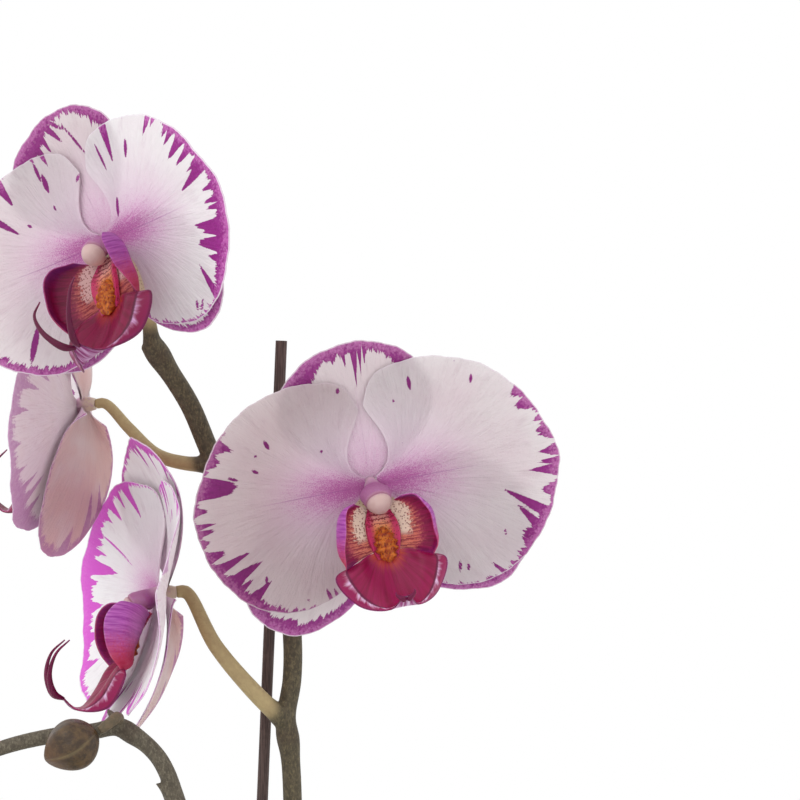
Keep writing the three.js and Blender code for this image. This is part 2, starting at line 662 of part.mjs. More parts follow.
const finish = (color, roughness, metalness = 0) => ({ color, roughness, metalness });
const finishes = {
  pot: finish(0xe9e4da, 0.55),
  bark: finish(0x6b4530, 0.95),
  crown: finish(0xa9ad93, 0.75),
  leaf: finish(0x3d6a2c, 0.4),
  stem: finish(0x66684c, 0.6),
  bud: finish(0x7d6c4d, 0.6),
  stake: finish(0x54453f, 0.7),
  clip: finish(0x3c5a38, 0.5),
  petal: finish(0xf0e2ee, 0.5),
  sepal: finish(0xe6cbe6, 0.5),
  lip: finish(0xa3165c, 0.45),
  column: finish(0xf0dfe6, 0.45),
};

function piece(name, geometry, look) {
  const mesh = new THREE.Mesh(geometry, new THREE.MeshStandardMaterial(finishes[look]));
  mesh.name = name;
  return mesh;
}

const orchid = new THREE.Group();
orchid.add(piece('pot', potGeometry(), 'pot'));
orchid.add(piece('bark_mix', barkGeometry(), 'bark'));
orchid.add(piece('crown_and_roots', fromSolid(crownParts(0)), 'crown'));
leaves.forEach((leaf, i) => orchid.add(piece(`leaf_${i + 1}`, leafGeometry(leaf), 'leaf')));
orchid.add(piece('stake', stakeLine(0), 'stake'));
orchid.add(piece('flower_spike', spikeGeometry(), 'stem'));
orchid.add(piece('side_spike', sideSpikeGeometry(), 'stem'));
buds.forEach((bud, i) => orchid.add(piece(`bud_${i + 1}`, budGeometry(bud), 'bud')));
orchid.add(piece('clip', clipGeometry(), 'clip'));

for (const bloom of blooms) {
  const place = new THREE.Group();
  place.position.set(...bloom.at);
  place.rotation.x = Math.PI / 2;
  const face = new THREE.Group();
  face.rotation.copy(faceTurn(bloom));
  place.add(face);
  orchid.add(place);
  for (const part of Object.keys(flatParts)) {
    const look = part.startsWith('petal') ? 'petal' : 'sepal';
    face.add(piece(`${bloom.name}_${part}`, flatGeometry(part, bloom), look));
  }
  face.add(piece(`${bloom.name}_lip`, lipGeometry(bloom), 'lip'));
  face.add(piece(`${bloom.name}_column`, columnGeometry(), 'column'));
}

export default orchid;
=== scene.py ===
# A potted moth orchid in flower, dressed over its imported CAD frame.
# Lengths are in millimetres until a mesh is made, and metres from there on.
import math

import bmesh
import bpy
import numpy as np
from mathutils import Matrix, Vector


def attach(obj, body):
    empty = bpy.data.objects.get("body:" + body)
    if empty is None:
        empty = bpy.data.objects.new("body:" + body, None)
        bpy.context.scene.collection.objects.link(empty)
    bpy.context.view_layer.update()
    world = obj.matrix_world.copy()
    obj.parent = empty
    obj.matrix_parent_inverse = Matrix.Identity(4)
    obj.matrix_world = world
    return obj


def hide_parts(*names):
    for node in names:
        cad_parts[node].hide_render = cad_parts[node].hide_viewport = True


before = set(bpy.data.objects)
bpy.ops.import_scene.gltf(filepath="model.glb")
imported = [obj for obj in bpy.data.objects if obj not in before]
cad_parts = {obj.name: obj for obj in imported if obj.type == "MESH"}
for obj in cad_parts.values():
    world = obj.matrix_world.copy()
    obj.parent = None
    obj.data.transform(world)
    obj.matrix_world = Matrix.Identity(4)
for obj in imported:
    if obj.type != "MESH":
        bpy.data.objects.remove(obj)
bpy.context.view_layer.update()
metresPerMillimetre = 0.001


# Curves and grids

def smoothAt(points, x):  # a smooth curve through points with rising x, read at x
    xs, ys = np.array(points, float).T
    x = np.clip(np.asarray(x, float), xs[0], xs[-1])
    slopes = np.empty(len(xs))
    slopes[1:-1] = (ys[2:] - ys[:-2]) / (xs[2:] - xs[:-2])
    slopes[0] = (ys[1] - ys[0]) / (xs[1] - xs[0])
    slopes[-1] = (ys[-1] - ys[-2]) / (xs[-1] - xs[-2])
    i = np.clip(np.searchsorted(xs, x, side="right") - 1, 0, len(xs) - 2)
    h = xs[i + 1] - xs[i]
    t = (x - xs[i]) / h
    return ((2 * t**3 - 3 * t**2 + 1) * ys[i] + (t**3 - 2 * t**2 + t) * h * slopes[i]
            + (3 * t**2 - 2 * t**3) * ys[i + 1] + (t**3 - t**2) * h * slopes[i + 1])


def alongCurve(points, count):  # points spread by index on a centripetal curve through points
    p = np.array(points, float)
    padded = np.vstack([2 * p[0] - p[1], p, 2 * p[-1] - p[-2]])
    t = np.linspace(0, len(p) - 1, count)
    i = np.minimum(t.astype(int), len(p) - 2)
    f = (t - i)[:, None]
    p0, p1, p2, p3 = (padded[i + k] for k in range(4))
    d0, d1, d2 = (np.maximum(np.linalg.norm(b - a, axis=1), 1e-6)[:, None] ** 0.5
                  for a, b in ((p0, p1), (p1, p2), (p2, p3)))
    t1 = ((p1 - p0) / d0 - (p2 - p0) / (d0 + d1) + (p2 - p1) / d1) * d1
    t2 = ((p2 - p1) / d1 - (p3 - p1) / (d1 + d2) + (p3 - p2) / d2) * d1
    return (p1 + t1 * f + (3 * (p2 - p1) - 2 * t1 - t2) * f**2
            + (2 * (p1 - p2) + t1 + t2) * f**3)


def route(points, spacing):  # points at even steps along the same curve
    fine = alongCurve(points, 40 * len(points))
    walked = np.r_[0, np.cumsum(np.linalg.norm(np.diff(fine, axis=0), axis=1))]
    stops = np.linspace(0, walked[-1], max(3, int(walked[-1] / spacing) + 1))
    return np.stack([np.interp(stops, walked, fine[:, k]) for k in range(3)], axis=1)


def net(stations, nu, nv):  # grid on a smooth surface through a few stations of points
    columns = np.array([alongCurve(s, nu + 1) for s in stations])
    return np.array([alongCurve(columns[:, i], nv + 1) for i in range(nu + 1)])


def unit(vectors):
    return vectors / np.maximum(np.linalg.norm(vectors, axis=-1, keepdims=True), 1e-9)


def smoothStep(x, low, high):
    t = np.clip((x - low) / (high - low), 0, 1)
    return t * t * (3 - 2 * t)


# Meshes: a part is a dictionary of points, faces, one finish and fields of numbers

def gridFaces(rows, columns, start=0):
    a = (np.arange(rows - 1)[:, None] * columns + np.arange(columns - 1)[None]).ravel() + start
    return np.stack([a, a + columns, a + columns + 1, a + 1], axis=1)


def outward(points, faces):  # turns all faces round where they enclose a negative volume
    a, b, c, d = (points[faces[:, k]] for k in range(4))
    volume = (a * np.cross(b, c)).sum() + (a * np.cross(c, d)).sum()
    return faces if volume > 0 else faces[:, ::-1]


def bladePart(grid, thickness, finish=0, fields=None):  # closed blade round a grid
    rows, columns = grid.shape[:2]
    normal = unit(np.cross(np.gradient(grid, axis=0), np.gradient(grid, axis=1)))
    half = np.broadcast_to(np.asarray(thickness, float), (rows, columns))[..., None] / 2
    points = np.concatenate([(grid + normal * half).reshape(-1, 3), (grid - normal * half).reshape(-1, 3)])
    count = rows * columns
    front = gridFaces(rows, columns)
    index = np.arange(count).reshape(rows, columns)
    rim = np.concatenate([index[0, :-1], index[:-1, -1], index[-1, :0:-1], index[:0:-1, 0]])
    after = np.roll(rim, -1)
    faces = np.concatenate([
        front, front[:, ::-1] + count, np.stack([rim, after, after + count, rim + count], axis=1)[:, ::-1],
    ])
    values = {k: np.concatenate([np.ravel(v), np.ravel(v)]) for k, v in (fields or {}).items()}
    values["back"] = np.r_[np.zeros(count), np.ones(count)]
    if outward(points, faces) is not faces:
        faces = faces[:, ::-1]
    return {"points": points, "faces": faces, "finish": finish, "fields": values}


def turnedPart(rings, finish=0, fields=None):  # closed skin over rings, whose ends are gathered in
    rows, sides = rings.shape[:2]
    points = rings.reshape(-1, 3)
    a = (np.arange(rows - 1)[:, None] * sides + np.arange(sides)[None]).ravel()
    b = (np.arange(rows - 1)[:, None] * sides + (np.arange(sides)[None] + 1) % sides).ravel()
    faces = np.stack([a, b, b + sides, a + sides], axis=1)
    ends = []
    for ring, flip in ((0, False), (rows - 1, True)):
        centre = len(points)
        points = np.vstack([points, rings[ring].mean(axis=0)])
        for k in range(0, sides, 2):
            quad = [centre, ring * sides + (k + 2) % sides, ring * sides + k + 1, ring * sides + k]
            ends.append(quad[::-1] if flip else quad)
    faces = outward(points, np.vstack([faces, ends]))
    values = {}
    for key, value in (fields or {}).items():
        flat = np.broadcast_to(value, (rows, sides))
        values[key] = np.r_[flat.ravel(), flat[0].mean(), flat[-1].mean()]
    return {"points": points, "faces": faces, "finish": finish, "fields": values}


def tubeRings(line, radii, sides):  # rings round a line, without twist
    line = np.asarray(line, float)
    tangent = unit(np.gradient(line, axis=0))
    normal = np.cross(tangent[0], (0.3, 0.5, 0.8))
    angle = np.linspace(0, 2 * np.pi, sides, endpoint=False)[:, None]
    rings = []
    for at, way, radius in zip(line, tangent, np.broadcast_to(radii, len(line))):
        normal = unit(normal - way * (normal @ way))
        across = np.cross(way, normal)
        rings.append(at + radius * (np.cos(angle) * normal + np.sin(angle) * across))
    return np.array(rings)


def inScene(name, data):  # an object that is linked to the scene
    piece = bpy.data.objects.new(name, data)
    bpy.context.scene.collection.objects.link(piece)
    return piece


def addField(mesh, key, values):
    mesh.attributes.new(key, "FLOAT", "POINT").data.foreach_set("value", np.asarray(values, np.float32))


def makePiece(name, parts, finishes, sharpAngle=60):  # one object of several parts
    offset = 0
    points, faces, finish = [], [], []
    for part in parts:
        points.append(part["points"])
        faces.append(part["faces"] + offset)
        finish.append(np.full(len(part["faces"]), part["finish"]))
        offset += len(part["points"])
    points, faces = np.vstack(points), np.vstack(faces)
    mesh = bpy.data.meshes.new(name)
    mesh.from_pydata((points * metresPerMillimetre).tolist(), [], faces.tolist())
    for look in finishes:
        mesh.materials.append(look)
    mesh.polygons.foreach_set("material_index", np.concatenate(finish).astype(np.int32))
    mesh.polygons.foreach_set("use_smooth", np.ones(len(faces), bool))
    keys = sorted({key for part in parts for key in part["fields"]})
    for key in keys:
        values = [part["fields"].get(key, np.zeros(len(part["points"]))) for part in parts]
        addField(mesh, key, np.concatenate(values))
    mesh.validate()
    mesh.set_sharp_from_angle(angle=math.radians(sharpAngle))
    return inScene(name, mesh)


def evaluated(piece):  # a copy of the mesh that a piece has after its modifiers
    depsgraph = bpy.context.evaluated_depsgraph_get()
    return bpy.data.meshes.new_from_object(piece.evaluated_get(depsgraph))


def baked(piece):  # the evaluated piece as a plain mesh with no modifiers
    mesh = evaluated(piece)
    mesh.name = name = piece.name
    old = piece.data
    bpy.data.objects.remove(piece)
    bpy.data.meshes.remove(old)
    return inScene(name, mesh)


def merged(name, pieces):  # one object of the evaluated meshes of several, which it replaces
    whole = bmesh.new()
    for piece in pieces:
        mesh = evaluated(piece)
        whole.from_mesh(mesh)
        bpy.data.meshes.remove(mesh)
        bpy.data.objects.remove(piece)
    mesh = bpy.data.meshes.new(name)
    whole.to_mesh(mesh)
    whole.free()
    return inScene(name, mesh)


def keep(piece, slotName, *nodes):  # joins the part's only body and stands for its nodes
    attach(piece, "root")
    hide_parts(*nodes)
    return piece


# Materials as expressions

def maths(operation, swapped=False):  # a method of Value that adds one maths node
    def join(self, other=0):
        first, second = (other, self) if swapped else (self, other)
        return self.skin.node("ShaderNodeMath", {"operation": operation}, {0: first, 1: second})[0]
    return join


class Value:  # a number socket that node maths is written with
    __add__, __radd__ = maths("ADD"), maths("ADD", True)
    __sub__, __rsub__ = maths("SUBTRACT"), maths("SUBTRACT", True)
    __mul__, __rmul__ = maths("MULTIPLY"), maths("MULTIPLY", True)
    atMost, atLeast = maths("MINIMUM"), maths("MAXIMUM")
    size, wave = maths("ABSOLUTE"), maths("SINE")

    def __init__(self, skin, socket):
        self.skin, self.socket = skin, socket

    def step(self, low, high):  # rises smoothly from 0 at low to 1 at high, or falls where high is less
        ends = {1: low, 2: high, 3: 0, 4: 1} if low < high else {1: high, 2: low, 3: 1, 4: 0}
        settings = {"interpolation_type": "SMOOTHSTEP"}
        return self.skin.node("ShaderNodeMapRange", settings, {0: self, **ends})[0]


class Skin:  # one material and its nodes
    def __init__(self, name):
        self.material = bpy.data.materials.new(name)
        self.material.use_nodes = True
        self.tree = self.material.node_tree
        self.tree.nodes.clear()
        sockets = {"Vector": self.node("ShaderNodeTexCoord")["Object"], "Scale": 1 / metresPerMillimetre}
        self.place = self.node("ShaderNodeVectorMath", {"operation": "SCALE"}, sockets)[0]

    def node(self, kind, settings=None, sockets=None):  # gives its outputs, by name and by number
        made = self.tree.nodes.new(kind)
        for key, value in (settings or {}).items():
            setattr(made, key, value)
        for key, value in (sockets or {}).items():
            socket = made.inputs[key]
            if isinstance(value, Value):
                self.tree.links.new(value.socket, socket)
            elif isinstance(value, tuple) and len(value) == 3 and socket.type == "RGBA":
                socket.default_value = (*value, 1)
            else:
                socket.default_value = value
        return {**{o.name: Value(self, o) for o in made.outputs},
                **{i: Value(self, o) for i, o in enumerate(made.outputs)}}

    def field(self, name):
        return self.node("ShaderNodeAttribute", {"attribute_name": name})["Fac"]

    def join(self, x, y=0, z=0):
        return self.node("ShaderNodeCombineXYZ", None, {0: x, 1: y, 2: z})[0]

    def stretched(self, x, y, z):  # the place in millimetres, scaled on each axis
        sockets = {0: self.place, 1: (x, y, z)}
        return self.node("ShaderNodeVectorMath", {"operation": "MULTIPLY"}, sockets)[0]

    def noise(self, scale, detail=2, rough=0.5, at=None):
        sockets = {"Vector": at or self.place, "Scale": scale, "Detail": detail, "Roughness": rough}
        return self.node("ShaderNodeTexNoise", None, sockets)["Fac"]

    def cells(self, scale, at=None):
        sockets = {"Vector": at or self.place, "Scale": scale}
        return self.node("ShaderNodeTexVoronoi", None, sockets)["Distance"]

    def mix(self, amount, first, second, blend="MIX"):  # colours
        settings = {"data_type": "RGBA", "blend_type": blend, "clamp_factor": True}
        return self.node("ShaderNodeMix", settings, {0: amount, 6: first, 7: second})[2]

    def painted(self, colour, *layers):  # layers: how much, then a colour or a tint's three numbers
        for amount, *over in layers:
            colour = self.mix(amount, colour, tint(*over) if len(over) == 3 else over[0])
        return colour

    def dyed(self, amount, colour, *dye):  # painted shade: the colour multiplied by a tint
        return self.mix(amount, colour, tint(*dye), "MULTIPLY")

    def bump(self, height, distance):
        sockets = {"Height": height, "Strength": 1.0, "Distance": distance * metresPerMillimetre}
        return self.node("ShaderNodeBump", None, sockets)[0]

    def surface(self, colour, roughness=0.5, normal=None, **constants):
        sockets = {"Base Color": colour, "Roughness": roughness}
        if normal is not None:
            sockets["Normal"] = normal
        sockets.update({key.replace("_", " "): value for key, value in constants.items()})
        shader = self.node("ShaderNodeBsdfPrincipled", None, sockets)[0]
        self.node("ShaderNodeOutputMaterial", None, {"Surface": shader})
        return self.material


def tint(red, green, blue):  # a colour given as it looks on a screen, 0 to 255
    parts = (red / 255, green / 255, blue / 255)
    return tuple(c / 12.92 if c < 0.04045 else ((c + 0.055) / 1.055) ** 2.4 for c in parts)


flesh = dict(Subsurface_Weight=0.75, Subsurface_Radius=(1.0, 1.05, 1.02), Subsurface_Scale=0.0018,
             Specular_IOR_Level=0.3)


def petalSkin(name, ground, pale, deep, behind, ribbed):
    skin = Skin(name)
    angle, radius, edge, mark, dash, back, blush, cream, shade, seed = (skin.field(key) for key in (
        "angle", "radius", "edge", "mark", "dash", "back", "blush", "cream", "shade", "seed"))
    fan = skin.join(angle * 0.42, radius * 0.05, seed)
    streaks = skin.noise(1.0, 3, 0.6, at=fan)
    threads = skin.noise(3.2, 2, 0.6, at=fan)
    foldsAndShade = skin.noise(1.0, 3, 0.6, at=skin.join(angle * 0.2, radius * 0.1, seed))
    grain = skin.noise(1.7, 3, 0.65)
    speck = skin.noise(4.0, 2, 0.6)
    mottle = skin.noise(0.95, 4, 0.7)
    cloud = skin.noise(0.07, 2, 0.5)
    # painted light: how much paler a part is painted where its shade field is negative
    paintedLight = (0 - shade).atLeast(0)
    flame = mark + (streaks - 0.5) * 4.4 + (threads - 0.5) * 4.2 + (grain - 0.5) * 1.8
    line = (dash + (grain - 0.5) * 0.6 + (streaks - 0.5) * 0.5).step(-0.14, 0.12)
    lighter = (edge.step(4.5, 0.4) * 0.62 + (mottle - 0.5) * 1.9).step(0.15, 0.75)
    crystal = (skin.cells(1.15) + (grain - 0.5) * 0.5).step(0.5, 0.28)
    markColour = skin.painted(
        deep,
        (lighter * 0.85, pale),
        (mottle.step(0.5, 0.38) * 0.5, 128, 18, 112),
        (crystal * edge.step(5, 1) * 0.4, 204, 122, 188),
        # painted light on the marks
        (paintedLight * 0.85, 226, 94, 214))
    haze = blush * (0.65 + 0.7 * streaks)
    dots = (haze * 0.8 + (speck - 0.5) * 3.4 + (grain - 0.5)).step(0.4, 0.9) * haze.atMost(1.0)
    aside = angle.size() * radius * math.radians(1)
    rib = (aside + (grain - 0.5) * 0.4).step(0.3, 0.05) * radius.step(36, 18)
    sprinkle = (skin.cells(1.5) + (grain - 0.5) * 0.5).step(0.34, 0.2)
    freckle = skin.cells(0.16).step(0.045, 0.025) * skin.noise(0.05).step(0.5, 0.58)
    front = skin.painted(
        ground,
        (cloud.step(0.35, 0.7) * 0.6, 226, 212, 219),
        # painted light on the ground colour
        (paintedLight, 250, 244, 249),
        ((radius + (cloud - 0.5) * 20).step(34, 6) * 0.42, 226, 200, 218),
        # painted shade along the broad folds, towards the margin
        (foldsAndShade.step(0.52, 0.7) * edge.step(26, 6) * 0.3, 202, 184, 194),
        (threads.step(0.5, 0.75) * 0.16, 200, 178, 194),
        ((haze * 0.55).atMost(0.72), 224, 148, 206),
        (dots * 0.75, 190, 76, 166),
        (rib * radius.step(2, 8) * ribbed, 164, 88, 160),
        (cream * 0.9, 238, 222, 190),
        (sprinkle * cream * 0.75, 158, 60, 84),
        (freckle * 0.7, 158, 84, 160),
        (flame.step(-0.15, 0.3).atLeast(line), markColour),
        # painted highlight: a pale rim along the margin, as if lit through
        (edge.step(0.45, 0.15) * 0.7, 238, 226, 238))
    faded = (flame + (mottle - 0.5) * 5).step(-0.8, 1.6)
    reverse = skin.painted(
        behind,
        (cloud.step(0.4, 0.65) * 0.5, 222, 204, 206),
        (faded * (0.35 + 0.6 * mottle), 164, 84, 156),
        (threads.step(0.5, 0.72) * 0.3, 188, 140, 160))
    # painted shade from the shade field, darkening the whole face of the part
    colour = skin.dyed(shade, skin.mix(back, front, reverse), 194, 176, 177)
    height = streaks * 0.5 + threads * 0.22 + grain * 0.16 + speck * 0.05 + foldsAndShade * 0.7
    return skin.surface(colour, 0.5 + 0.15 * grain, skin.bump(height, 0.9), **flesh)


def lobeParts(skin):  # the fields and noises that paint all the lobes of the lip
    rise, sweep, edge, back, wine = (skin.field(key) for key in ("rise", "sweep", "edge", "back", "wine"))
    veins = skin.noise(1.6, 3, 0.6, at=skin.join(sweep * 9, rise * 0.8, 0))
    grain = skin.noise(1.4, 3, 0.6)
    return rise, sweep, edge, back, wine, veins, grain


def lobeSurface(skin, inner, outer, back, wine, veins, grain):
    # painted shade: each bloom's whole lip darkened by its own amount
    colour = skin.dyed(wine, skin.mix(back, inner, outer), 206, 172, 200)
    return skin.surface(colour, 0.36 + 0.15 * grain, skin.bump(veins * 0.4 + grain * 0.15, 0.5), **flesh)


def middleLobeSkin():  # a bowl with a dark rim line, whose margin is folded back
    skin = Skin("orchidLipMiddle")
    rise, sweep, edge, back, wine, veins, grain = lobeParts(skin)
    aside = sweep.size()
    beyond = rise - (1 - 0.3 * (aside * 3.1).wave().atLeast(0) - 0.03 * grain)
    folded = skin.painted(
        tint(224, 190, 222),
        ((veins + beyond * 1.6).step(0.42, 0.72), 150, 20, 84),
        (aside.step(0.62, 0.9), 136, 14, 62))
    inner = skin.painted(
        tint(126, 4, 56),
        (veins.step(0.3, 0.7), 152, 11, 77),
        ((rise + 0.3 * veins).step(0.42, 0.16) * 0.8, 214, 84, 50),
        (beyond.step(0.0, 0.03) * aside.step(0.06, 0.2), folded),
        (beyond.size().step(0.035, 0.012) * 0.8, 92, 10, 56),
        (edge.step(0.9, 0.3) * 0.8, 90, 12, 58))
    outer = skin.painted(
        tint(150, 44, 118),
        (veins.step(0.42, 0.6), 222, 196, 222),
        (aside.step(0.3, 0.6), 140, 20, 86),
        (edge.step(0.9, 0.3) * 0.8, 88, 14, 64))
    return lobeSurface(skin, inner, outer, back, wine, veins, grain)


def sideLobeSkin():  # cream and spotted, then striped, then plain towards the rim
    skin = Skin("orchidLipSide")
    rise, sweep, edge, back, wine, veins, grain = lobeParts(skin)
    wander = (grain - 0.5) * 0.3 + (veins - 0.5) * 0.2
    up = rise + wander
    lines = (sweep * 56 + rise * 22 + (veins - 0.5) * 16 + (grain - 0.5) * 6).wave()
    striped = skin.painted(
        tint(210, 120, 100),
        (up.step(0.2, 0.5), 172, 38, 86),
        (lines.step(-0.1, 0.5) * 0.8, 132, 16, 56))
    spots = (skin.cells(1.35) + (grain - 0.5) * 0.35).step(0.4, 0.26)
    cream = skin.painted(tint(234, 208, 190), (spots * 0.8, 140, 60, 56))
    inCream = (rise + sweep * 0.1 + wander).step(0.27, 0.2) * sweep.step(0.55, 0.25)
    inner = skin.painted(
        tint(120, 5, 58),
        (veins.step(0.38, 0.62), 150, 11, 76),
        (sweep.step(0.1, -0.8) * up.step(0.5, 0.85) * 0.8, 126, 46, 132),
        (up.step(0.5, 0.28), striped),
        (inCream, cream),
        ((edge + wander * 5).step(4.2, 0.4) * 0.5, 118, 28, 108),
        (edge.step(0.5, 0.15) * 0.5, 180, 76, 104))
    outer = skin.painted(
        tint(146, 48, 146),
        (veins.step(0.36, 0.66), 190, 108, 186),
        (up.step(0.75, 0.3) * 0.35, 216, 160, 200),
        ((sweep + wander * 2).step(-0.1, 0.8) * 0.9, 182, 44, 70))
    return lobeSurface(skin, inner, outer, back, wine, veins, grain)


def throatSkin():  # the striped and spotted floor of the lip
    skin = Skin("orchidThroat")
    rise, sweep = skin.field("rise"), skin.field("sweep")
    grain = skin.noise(1.4, 3, 0.6)
    bars = (rise * 58 + skin.noise(0.6, 2) * 9).wave()
    colour = skin.painted(
        tint(236, 176, 170),
        (rise.step(0.25, 0.7), 226, 138, 40),
        ((sweep.size() + (grain - 0.5) * 0.4).step(0.3, 0.85), 196, 52, 104),
        (bars.step(0.3, 0.7) * rise.step(0.7, 0.4) * 0.8, 138, 20, 54),
        (skin.cells(1.3).step(0.32, 0.2) * 0.8, 118, 28, 30))
    return skin.surface(colour, 0.4, skin.bump(grain, 0.3), **flesh)


def callusSkin():
    skin = Skin("orchidCallus")
    grain = skin.noise(0.9, 2, 0.5)
    fine = skin.noise(2.4, 2, 0.6)
    spots = (skin.cells(1.5, at=skin.stretched(1, 0.5, 0.5)) + (fine - 0.5) * 0.5).step(0.42, 0.26)
    colour = skin.painted(
        tint(206, 118, 40),
        (grain.step(0.35, 0.65), 170, 74, 30),
        (spots * 0.85, 120, 34, 26))
    return skin.surface(colour, 0.36, skin.bump(grain + fine * 0.5, 0.4), **flesh)


def columnSkin():
    skin = Skin("orchidColumn")
    along = skin.field("along")
    grain = skin.noise(1.1, 3, 0.6)
    cap = (along + (grain - 0.5) * 0.08).step(0.74, 0.86)
    colour = skin.painted(
        tint(200, 162, 180),
        (along.step(0.3, 0.5), 158, 90, 138),
        (along.step(0.5, 0.72) * 0.6, 176, 120, 156),
        (cap, 208, 178, 174),
        (along.step(0.93, 1.0) * 0.7, 196, 160, 160),
        (along.step(0.3, 0.12), 206, 186, 168),
        (grain.step(0.5, 0.72) * (1 - cap) * 0.4, 174, 110, 178),
        (skin.field("seam") * 0.75, 168, 104, 128))
    return skin.surface(colour, 0.42, skin.bump(grain, 0.25), Coat_Weight=0.1, **flesh)


def stemSkin(name, dark, light, young, pore):  # mottled stems with fine flecks and pores
    skin = Skin(name)
    mottled = skin.noise(0.55, 4, 0.65)
    fleck = skin.noise(2.6, 3, 0.6, at=skin.stretched(1, 1, 0.45))
    pores = skin.noise(1.6, 3, 0.65, at=skin.stretched(1, 1, 0.5))
    tender = skin.painted(young, (mottled.step(0.3, 0.75) * 0.4, 150, 122, 92))
    colour = skin.painted(
        dark,
        (mottled.step(0.35, 0.68), light),
        (pores.step(0.5, 0.64) * 0.5, pore),
        (fleck.step(0.45, 0.3) * 0.5, 56, 50, 32),
        (skin.field("fresh"), tender),
        (skin.field("ring") * 0.6, 70, 52, 40))
    height = fleck * 0.5 + mottled * 0.6
    return skin.surface(colour, 0.5 + 0.2 * fleck, skin.bump(height, 0.35), Specular_IOR_Level=0.4)


def budSkin():
    skin = Skin("orchidBud")
    mottled = skin.noise(0.45, 4, 0.6)
    fibres = skin.noise(2.2, 3, 0.6, at=skin.stretched(0.25, 1, 1))
    colour = skin.painted(
        tint(60, 44, 28),
        (mottled.step(0.35, 0.7), 94, 72, 44),
        (skin.field("along").step(0.55, 0.95) * 0.5, 112, 76, 48),
        (fibres.step(0.5, 0.75) * 0.35, 84, 56, 52),
        (skin.field("seam") * 0.4, 150, 132, 92))
    height = mottled * 0.4 + fibres * 0.3
    return skin.surface(colour, 0.42, skin.bump(height, 0.3), Specular_IOR_Level=0.45)


def leafSkin():
    skin = Skin("orchidLeaf")
    across, along = skin.field("across"), skin.field("along")
    veins = skin.noise(1.0, 2, 0.6, at=skin.join(across * 16, along * 1.2, skin.field("seed")))
    cloud = skin.noise(0.045, 3, 0.55)
    grain = skin.noise(2.2, 3, 0.6)
    under = skin.painted(tint(110, 130, 78), (cloud.step(0.35, 0.7), 112, 96, 84))
    colour = skin.painted(
        tint(44, 79, 32),
        (cloud.step(0.22, 0.82), 74, 112, 48),
        (veins.step(0.5, 0.7) * 0.3, 98, 134, 66),
        (across.size().step(0.1, 0.02) * 0.45, 128, 158, 92),
        (across.size().step(0.93, 1.0) * 0.5, 118, 120, 66),
        ((1 - along).step(0.9, 1.0) * 0.7, 150, 164, 104),
        (skin.field("back"), under))
    height = veins * 0.35 + grain * 0.08 - across.size().step(0.08, 0.0) * 0.4
    return skin.surface(colour, 0.3 + 0.18 * grain, skin.bump(height, 0.6), Coat_Weight=0.12,
                        Specular_IOR_Level=0.5)


def rootSkin():
    skin = Skin("orchidRoot")
    mottled = skin.noise(0.35, 4, 0.6)
    grain = skin.noise(2.5, 3, 0.6)
    colour = skin.painted(
        tint(150, 158, 132),
        (mottled.step(0.35, 0.7), 196, 200, 184),
        (grain.step(0.55, 0.7) * 0.3, 120, 122, 96),
        (skin.field("tip"), 96, 104, 58))
    return skin.surface(colour, 0.75, skin.bump(mottled * 0.5 + grain * 0.3, 0.4))


def barkSkin():
    skin = Skin("orchidBark")
    plates = skin.noise(0.12, 3, 0.6)
    fibres = skin.noise(0.8, 4, 0.7, at=skin.stretched(0.4, 1, 1))
    colour = skin.painted(
        tint(70, 44, 30),
        (plates.step(0.35, 0.65), 126, 84, 54),
        (fibres.step(0.5, 0.72) * 0.5, 158, 116, 80),
        (fibres.step(0.42, 0.28) * 0.6, 40, 26, 20))
    return skin.surface(colour, 0.92, skin.bump(fibres * 0.8 + plates * 0.4, 1.2))


def stakeSkin():
    skin = Skin("orchidStake")
    grain = skin.noise(1.2, 4, 0.65, at=skin.stretched(2.2, 2.2, 0.07))
    wear = skin.noise(0.09, 3, 0.6)
    colour = skin.painted(
        tint(66, 50, 48),
        (grain.step(0.35, 0.68), 104, 84, 78),
        (wear.step(0.55, 0.75) * 0.5, 132, 112, 100))
    return skin.surface(colour, 0.6, skin.bump(grain, 0.3), Specular_IOR_Level=0.4)


def clipSkin():
    skin = Skin("orchidClip")
    scuffs = skin.noise(0.9, 3, 0.6)
    colour = skin.painted(tint(44, 74, 40), (scuffs.step(0.4, 0.7), 66, 98, 56))
    return skin.surface(colour, 0.35 + 0.2 * scuffs, skin.bump(scuffs, 0.08))


def potSkin():
    skin = Skin("orchidPot")
    haze = skin.noise(0.025, 3, 0.5)
    grain = skin.noise(1.5, 3, 0.6)
    scuffs = skin.noise(0.25, 3, 0.6, at=skin.stretched(1, 1, 0.15))
    colour = skin.painted(
        tint(231, 227, 219),
        (haze.step(0.25, 0.8), 221, 216, 206),
        (scuffs.step(0.6, 0.75) * 0.3, 196, 188, 174))
    return skin.surface(colour, 0.42 + 0.2 * grain, skin.bump(grain * 0.4 + scuffs * 0.2, 0.12))


petalLook = petalSkin("orchidPetal", tint(230, 223, 226), tint(182, 88, 166), tint(146, 30, 130),
                      tint(222, 204, 212), 0.5)
sepalLook = petalSkin("orchidSepal", tint(229, 221, 224), tint(182, 90, 166), tint(150, 40, 134),
                      tint(216, 180, 178), 0.1)
middleLobeLook = middleLobeSkin()
sideLobeLook = sideLobeSkin()
throatLook = throatSkin()
callusLook = callusSkin()
columnLook = columnSkin()
spikeLook = stemSkin("orchidSpike", tint(70, 62, 46), tint(92, 82, 62), tint(188, 168, 122),
                     tint(128, 116, 84))
sideSpikeLook = stemSkin("orchidSideSpike", tint(80, 72, 60), tint(102, 93, 78), tint(90, 80, 62),
                         tint(136, 128, 108))
budLook = budSkin()
leafLook = leafSkin()
rootLook = rootSkin()
barkLook = barkSkin()
stakeLook = stakeSkin()
clipLook = clipSkin()
potLook = potSkin()
print("materials made")


# Geometry Nodes: a stem of changing thickness along each line of a mesh

